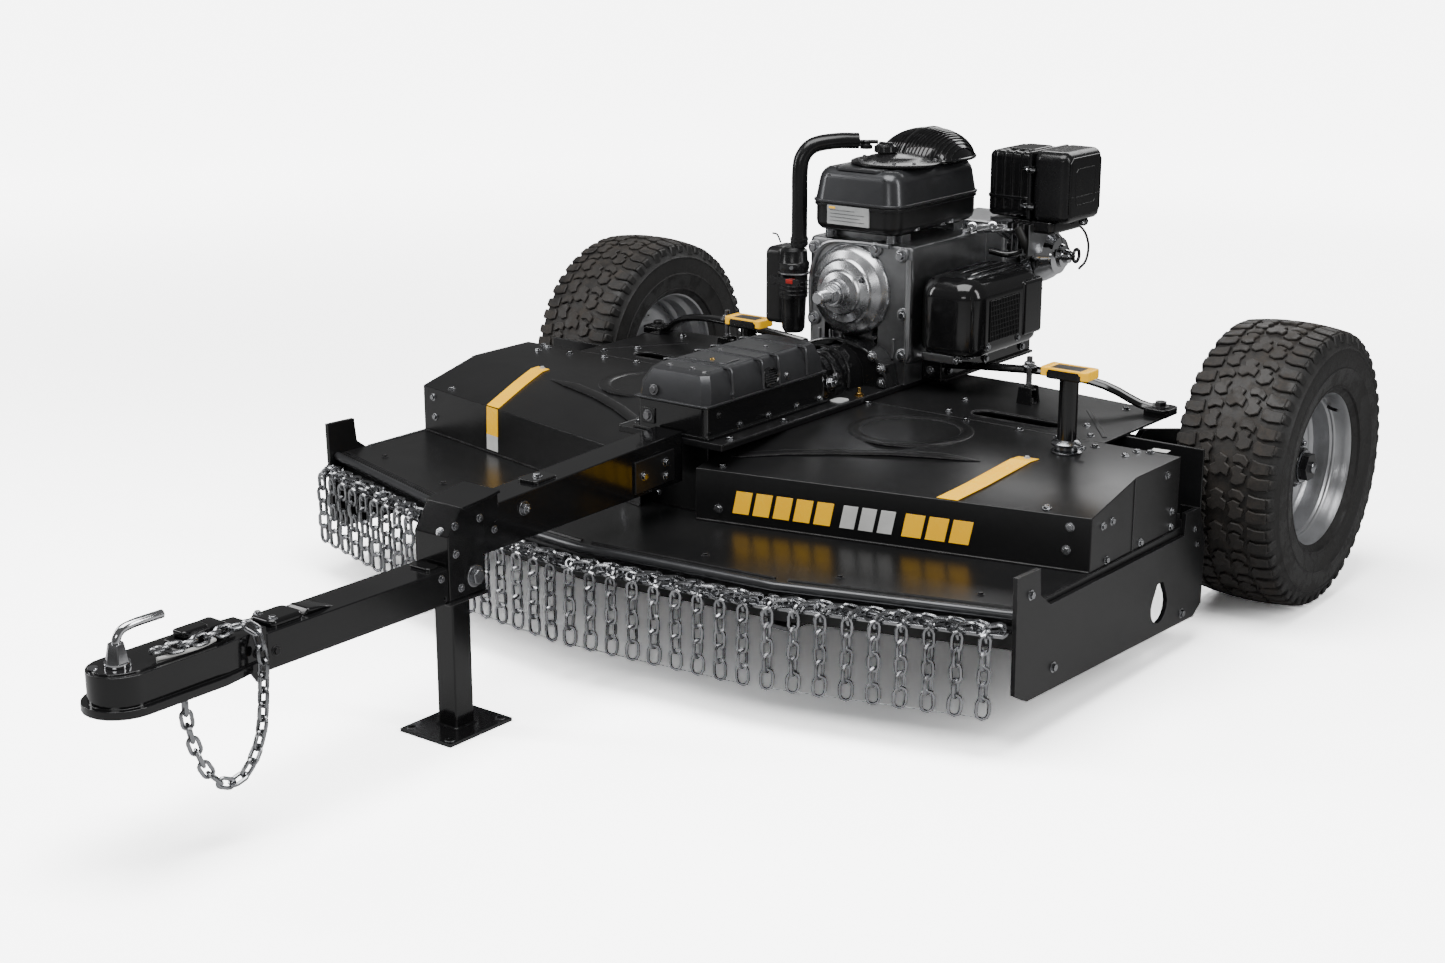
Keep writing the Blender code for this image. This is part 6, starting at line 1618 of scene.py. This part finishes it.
def make_rim(word, side):
    node = word + "_rim"
    rim = Piece(node + "_look", BODY_OF[node], node)
    face_out = Matrix.Rotation(0 if side > 0 else pi, 4, "Z")
    centre = Matrix.Translation((side * WHEEL_X, 0, WHEEL_Z)) @ face_out
    barrel = [(0.1385, 0.08), (0.143, 0.0848), (0.1462, 0.085), (0.147, 0.0832), (0.1445, 0.0815),
              (0.1405, 0.08), (0.1392, 0.074), (0.138, 0.06), (0.13, 0.052), (0.128, 0.033),
              (0.128, -0.033), (0.138, -0.06), (0.1392, -0.074), (0.1405, -0.08), (0.1445, -0.0815),
              (0.147, -0.0832), (0.1462, -0.085), (0.143, -0.0848), (0.137, -0.08), (0.1355, -0.062),
              (0.133, -0.058), (0.1245, -0.049), (0.124, -0.018), (0.118, -0.012), (0.1165, -0.002),
              (0.1165, 0.006), (0.119, 0.011), (0.1235, 0.015), (0.124, 0.033), (0.1262, 0.04),
              (0.1262, 0.0455), (0.131, 0.05), (0.1325, 0.056), (0.135, 0.06), (0.1362, 0.068)]
    rim.add(turned(barrel, axis="x", steps=96, ring=True), SILVER, centre)
    disc = [(0.033, -0.003), (0.046, -0.003), (0.054, 0.002), (0.07, 0.002), (0.08, -0.004),
            (0.096, -0.009), (0.108, -0.006), (0.115, 0.0), (0.12, 0.004), (0.12, 0.0085), (0.113, 0.005),
            (0.106, -0.001), (0.096, -0.004), (0.082, 0.001), (0.071, 0.007), (0.053, 0.007),
            (0.045, 0.002), (0.033, 0.002)]
    rim.add(turned(disc, axis="x", steps=96, ring=True), SILVER, centre)
    for k in range(8):
        angle = 2 * pi * k / 8 + 0.2
        spot = Matrix.Rotation(angle, 4, "X") @ Matrix.Translation((0.0, 0.0, 0.092))
        dish = turned([(0, -0.0012), (0.0095, -0.0012), (0.0125, 0.0003), (0.0135, 0.0024),
                       (0.0125, 0.0028), (0.0108, 0.001), (0, 0.0004)], axis="x", steps=22)
        rim.add(dish, BLACK_PLASTIC, centre @ spot @ Matrix.Translation((-0.004, 0, 0)))
    for k in range(5):
        angle = 2 * pi * k / 5 + 0.45
        y, z = 0.062 * cos(angle), 0.062 * sin(angle)
        collar = turned([(0, 0.0055), (0.0135, 0.0055), (0.012, 0.01), (0, 0.01)], axis="x", steps=20)
        rim.add(collar, SILVER, centre @ Matrix.Translation((0, y, z)))
        nut = bmesh.new()
        bmesh.ops.create_cone(nut, cap_ends=True, segments=6, radius1=0.0105, radius2=0.0105, depth=0.012)
        soften(nut, nut.edges, 0.001, 2)
        rim.add(nut, GLOSS_BLACK, centre @ Matrix.Translation((0.015, y, z)) @ TURN_TO["x"])
        stud = turned([(0, 0), (0.0052, 0), (0.0052, 0.0065), (0.0042, 0.0075), (0, 0.0075)],
                      axis="x", steps=14)
        rim.add(stud, ZINC, centre @ Matrix.Translation((0.0205, y, z)))
    hub = [(0.021, 0.048), (0.0215, 0.0478), (0.032, 0.0478), (0.034, 0.046), (0.0345, 0.033),
           (0.036, 0.03), (0.036, 0.008), (0.042, 0.004), (0.042, -0.01), (0.036, -0.014), (0.034, -0.046),
           (0.032, -0.0478), (0.021, -0.0478)]
    rim.add(turned(hub, axis="x", steps=48, ring=True), GLOSS_BLACK, centre)
    valve = swept(smooth_line([(0.052, 0.0, -0.129), (0.06, 0.0, -0.1255), (0.072, 0.0, -0.1235)], 4),
                  0.0032, 8)
    rim.add(valve, BLACK_PLASTIC, centre @ Matrix.Rotation(2.4, 4, "X"))
    rim.done()


def make_wheels():
    for word, side in (("left", -1), ("right", 1)):
        make_tyre(word, side)
        make_rim(word, side)


def make_yoke():
    """Trailing axle yoke, its arms and the galvanised nuts on its stub ends."""
    yoke = stand_in("axle_yoke", SATIN_BLACK, 0.0012)
    for side in (-1, 1):
        end = box_of("axle_yoke")[1].x * side
        nut = bmesh.new()
        bmesh.ops.create_cone(nut, cap_ends=True, segments=6, radius1=0.0225, radius2=0.0225, depth=0.0145)
        soften(nut, nut.edges, 0.0016, 2)
        yoke.add(nut, ZINC, Matrix.Translation((end - side * 0.008, 0, WHEEL_Z)) @ TURN_TO["x"])
        tip = [(0, 0), (0.0105, 0), (0.0105, 0.006), (0.009, 0.0085), (0, 0.009)]
        place = Matrix.Translation((end - side * 0.0012, 0,
                                    WHEEL_Z)) @ Matrix.Rotation(0 if side > 0 else pi, 4, "Z")
        yoke.add(turned(tip, axis="x", steps=20), ZINC, place)
        yoke.add(turned([(0.01, 0), (0.03, 0), (0.03, 0.0032), (0.01, 0.0032)], axis="x", steps=32,
                        ring=True), ZINC,
                 Matrix.Translation((side * 0.8058 - (0.0032 if side < 0 else 0), 0, WHEEL_Z)))
        for y in (-0.15, -0.08):
            yoke.bolt((side * 0.5865, y, WHEEL_Z + 0.01), (side, 0, 0), 0.008, ZINC)
    yoke.done()


make_wheels()
make_yoke()


# ---------------------------------------------------------------- rotors and what is left

def make_rotors():
    for word in ("left", "right"):
        rotor = stand_in(word + "_spindle", STEEL, 0.0008)
        rotor.done()
        for end in ("front", "rear"):
            arm = stand_in(word + "_" + end + "_blade", STEEL, 0.0008)
            arm.done()
    upright_shaft = stand_in("centre_spindle", STEEL, 0.0006)
    upright_shaft.done()
    belt = stand_in("deck_belt", RUBBER, 0.0006)
    belt.done()


make_rotors()


# ---------------------------------------------------------------- floor and light

def make_floor():
    shape = bmesh.new()
    bmesh.ops.create_grid(shape, x_segments=1, y_segments=1, size=90)
    mesh = bpy.data.meshes.new("floor")
    shape.to_mesh(mesh)
    shape.free()
    material = bpy.data.materials.new("pale_floor")
    material.use_nodes = True
    tree = material.node_tree
    shader = tree.nodes["Principled BSDF"]
    shader.inputs["Roughness"].default_value = 0.75
    shader.inputs["Emission Color"].default_value = (1, 1, 1, 1)
    ray = tree.nodes.new("ShaderNodeLightPath")
    place = tree.nodes.new("ShaderNodeTexCoord")
    away = tree.nodes.new("ShaderNodeVectorMath")
    away.operation = "LENGTH"
    wire(tree, place.outputs["Object"], away.inputs[0])
    far = ranged(tree, away.outputs["Value"], 1.3, 6.5, 0.0, 6.0)
    wire(tree, ranged(tree, ray.outputs["Is Camera Ray"], 0, 1, 0.42, 4.6), shader.inputs["Base Color"])
    wire(tree, sums(tree, "MULTIPLY", ray.outputs["Is Camera Ray"], far),
         shader.inputs["Emission Strength"])
    mesh.materials.append(material)
    floor = bpy.data.objects.new("floor", mesh)
    bpy.context.scene.collection.objects.link(floor)


def area_light(name, place, look_at, size, power):
    data = bpy.data.lights.new(name, "AREA")
    data.shape = "RECTANGLE"
    data.size, data.size_y = size
    data.energy = power
    light = bpy.data.objects.new(name, data)
    bpy.context.scene.collection.objects.link(light)
    light.location = place
    light.rotation_mode = "QUATERNION"
    light.rotation_quaternion = (Vector(look_at) - Vector(place)).to_track_quat("-Z", "Y")


def make_light():
    world = bpy.data.worlds.new("studio")
    world.use_nodes = True
    tree = world.node_tree
    sky = tree.nodes["Background"]
    sky.inputs["Color"].default_value = (1, 1, 1, 1)
    ray = tree.nodes.new("ShaderNodeLightPath")
    wire(tree, ranged(tree, ray.outputs["Is Camera Ray"], 0, 1, 0.16, 6.0), sky.inputs["Strength"])
    bpy.context.scene.world = world
    area_light("top_softbox", (0.2, -0.6, 3.4), (0, 0, 0.2), (3.0, 2.2), 165)
    area_light("left_strip", (-3.0, -1.8, 1.9), (-0.2, -0.3, 0.3), (0.6, 2.6), 50)
    area_light("right_strip", (3.4, 0.6, 2.0), (0.4, 0.2, 0.3), (0.6, 2.6), 45)
    area_light("back_softbox", (-0.6, 3.6, 2.4), (0, 0, 0.4), (3.0, 1.0), 40)
    area_light("front_fill", (1.6, -4.2, 1.6), (0, -0.4, 0.3), (1.6, 0.5), 18)


make_floor()
make_light()
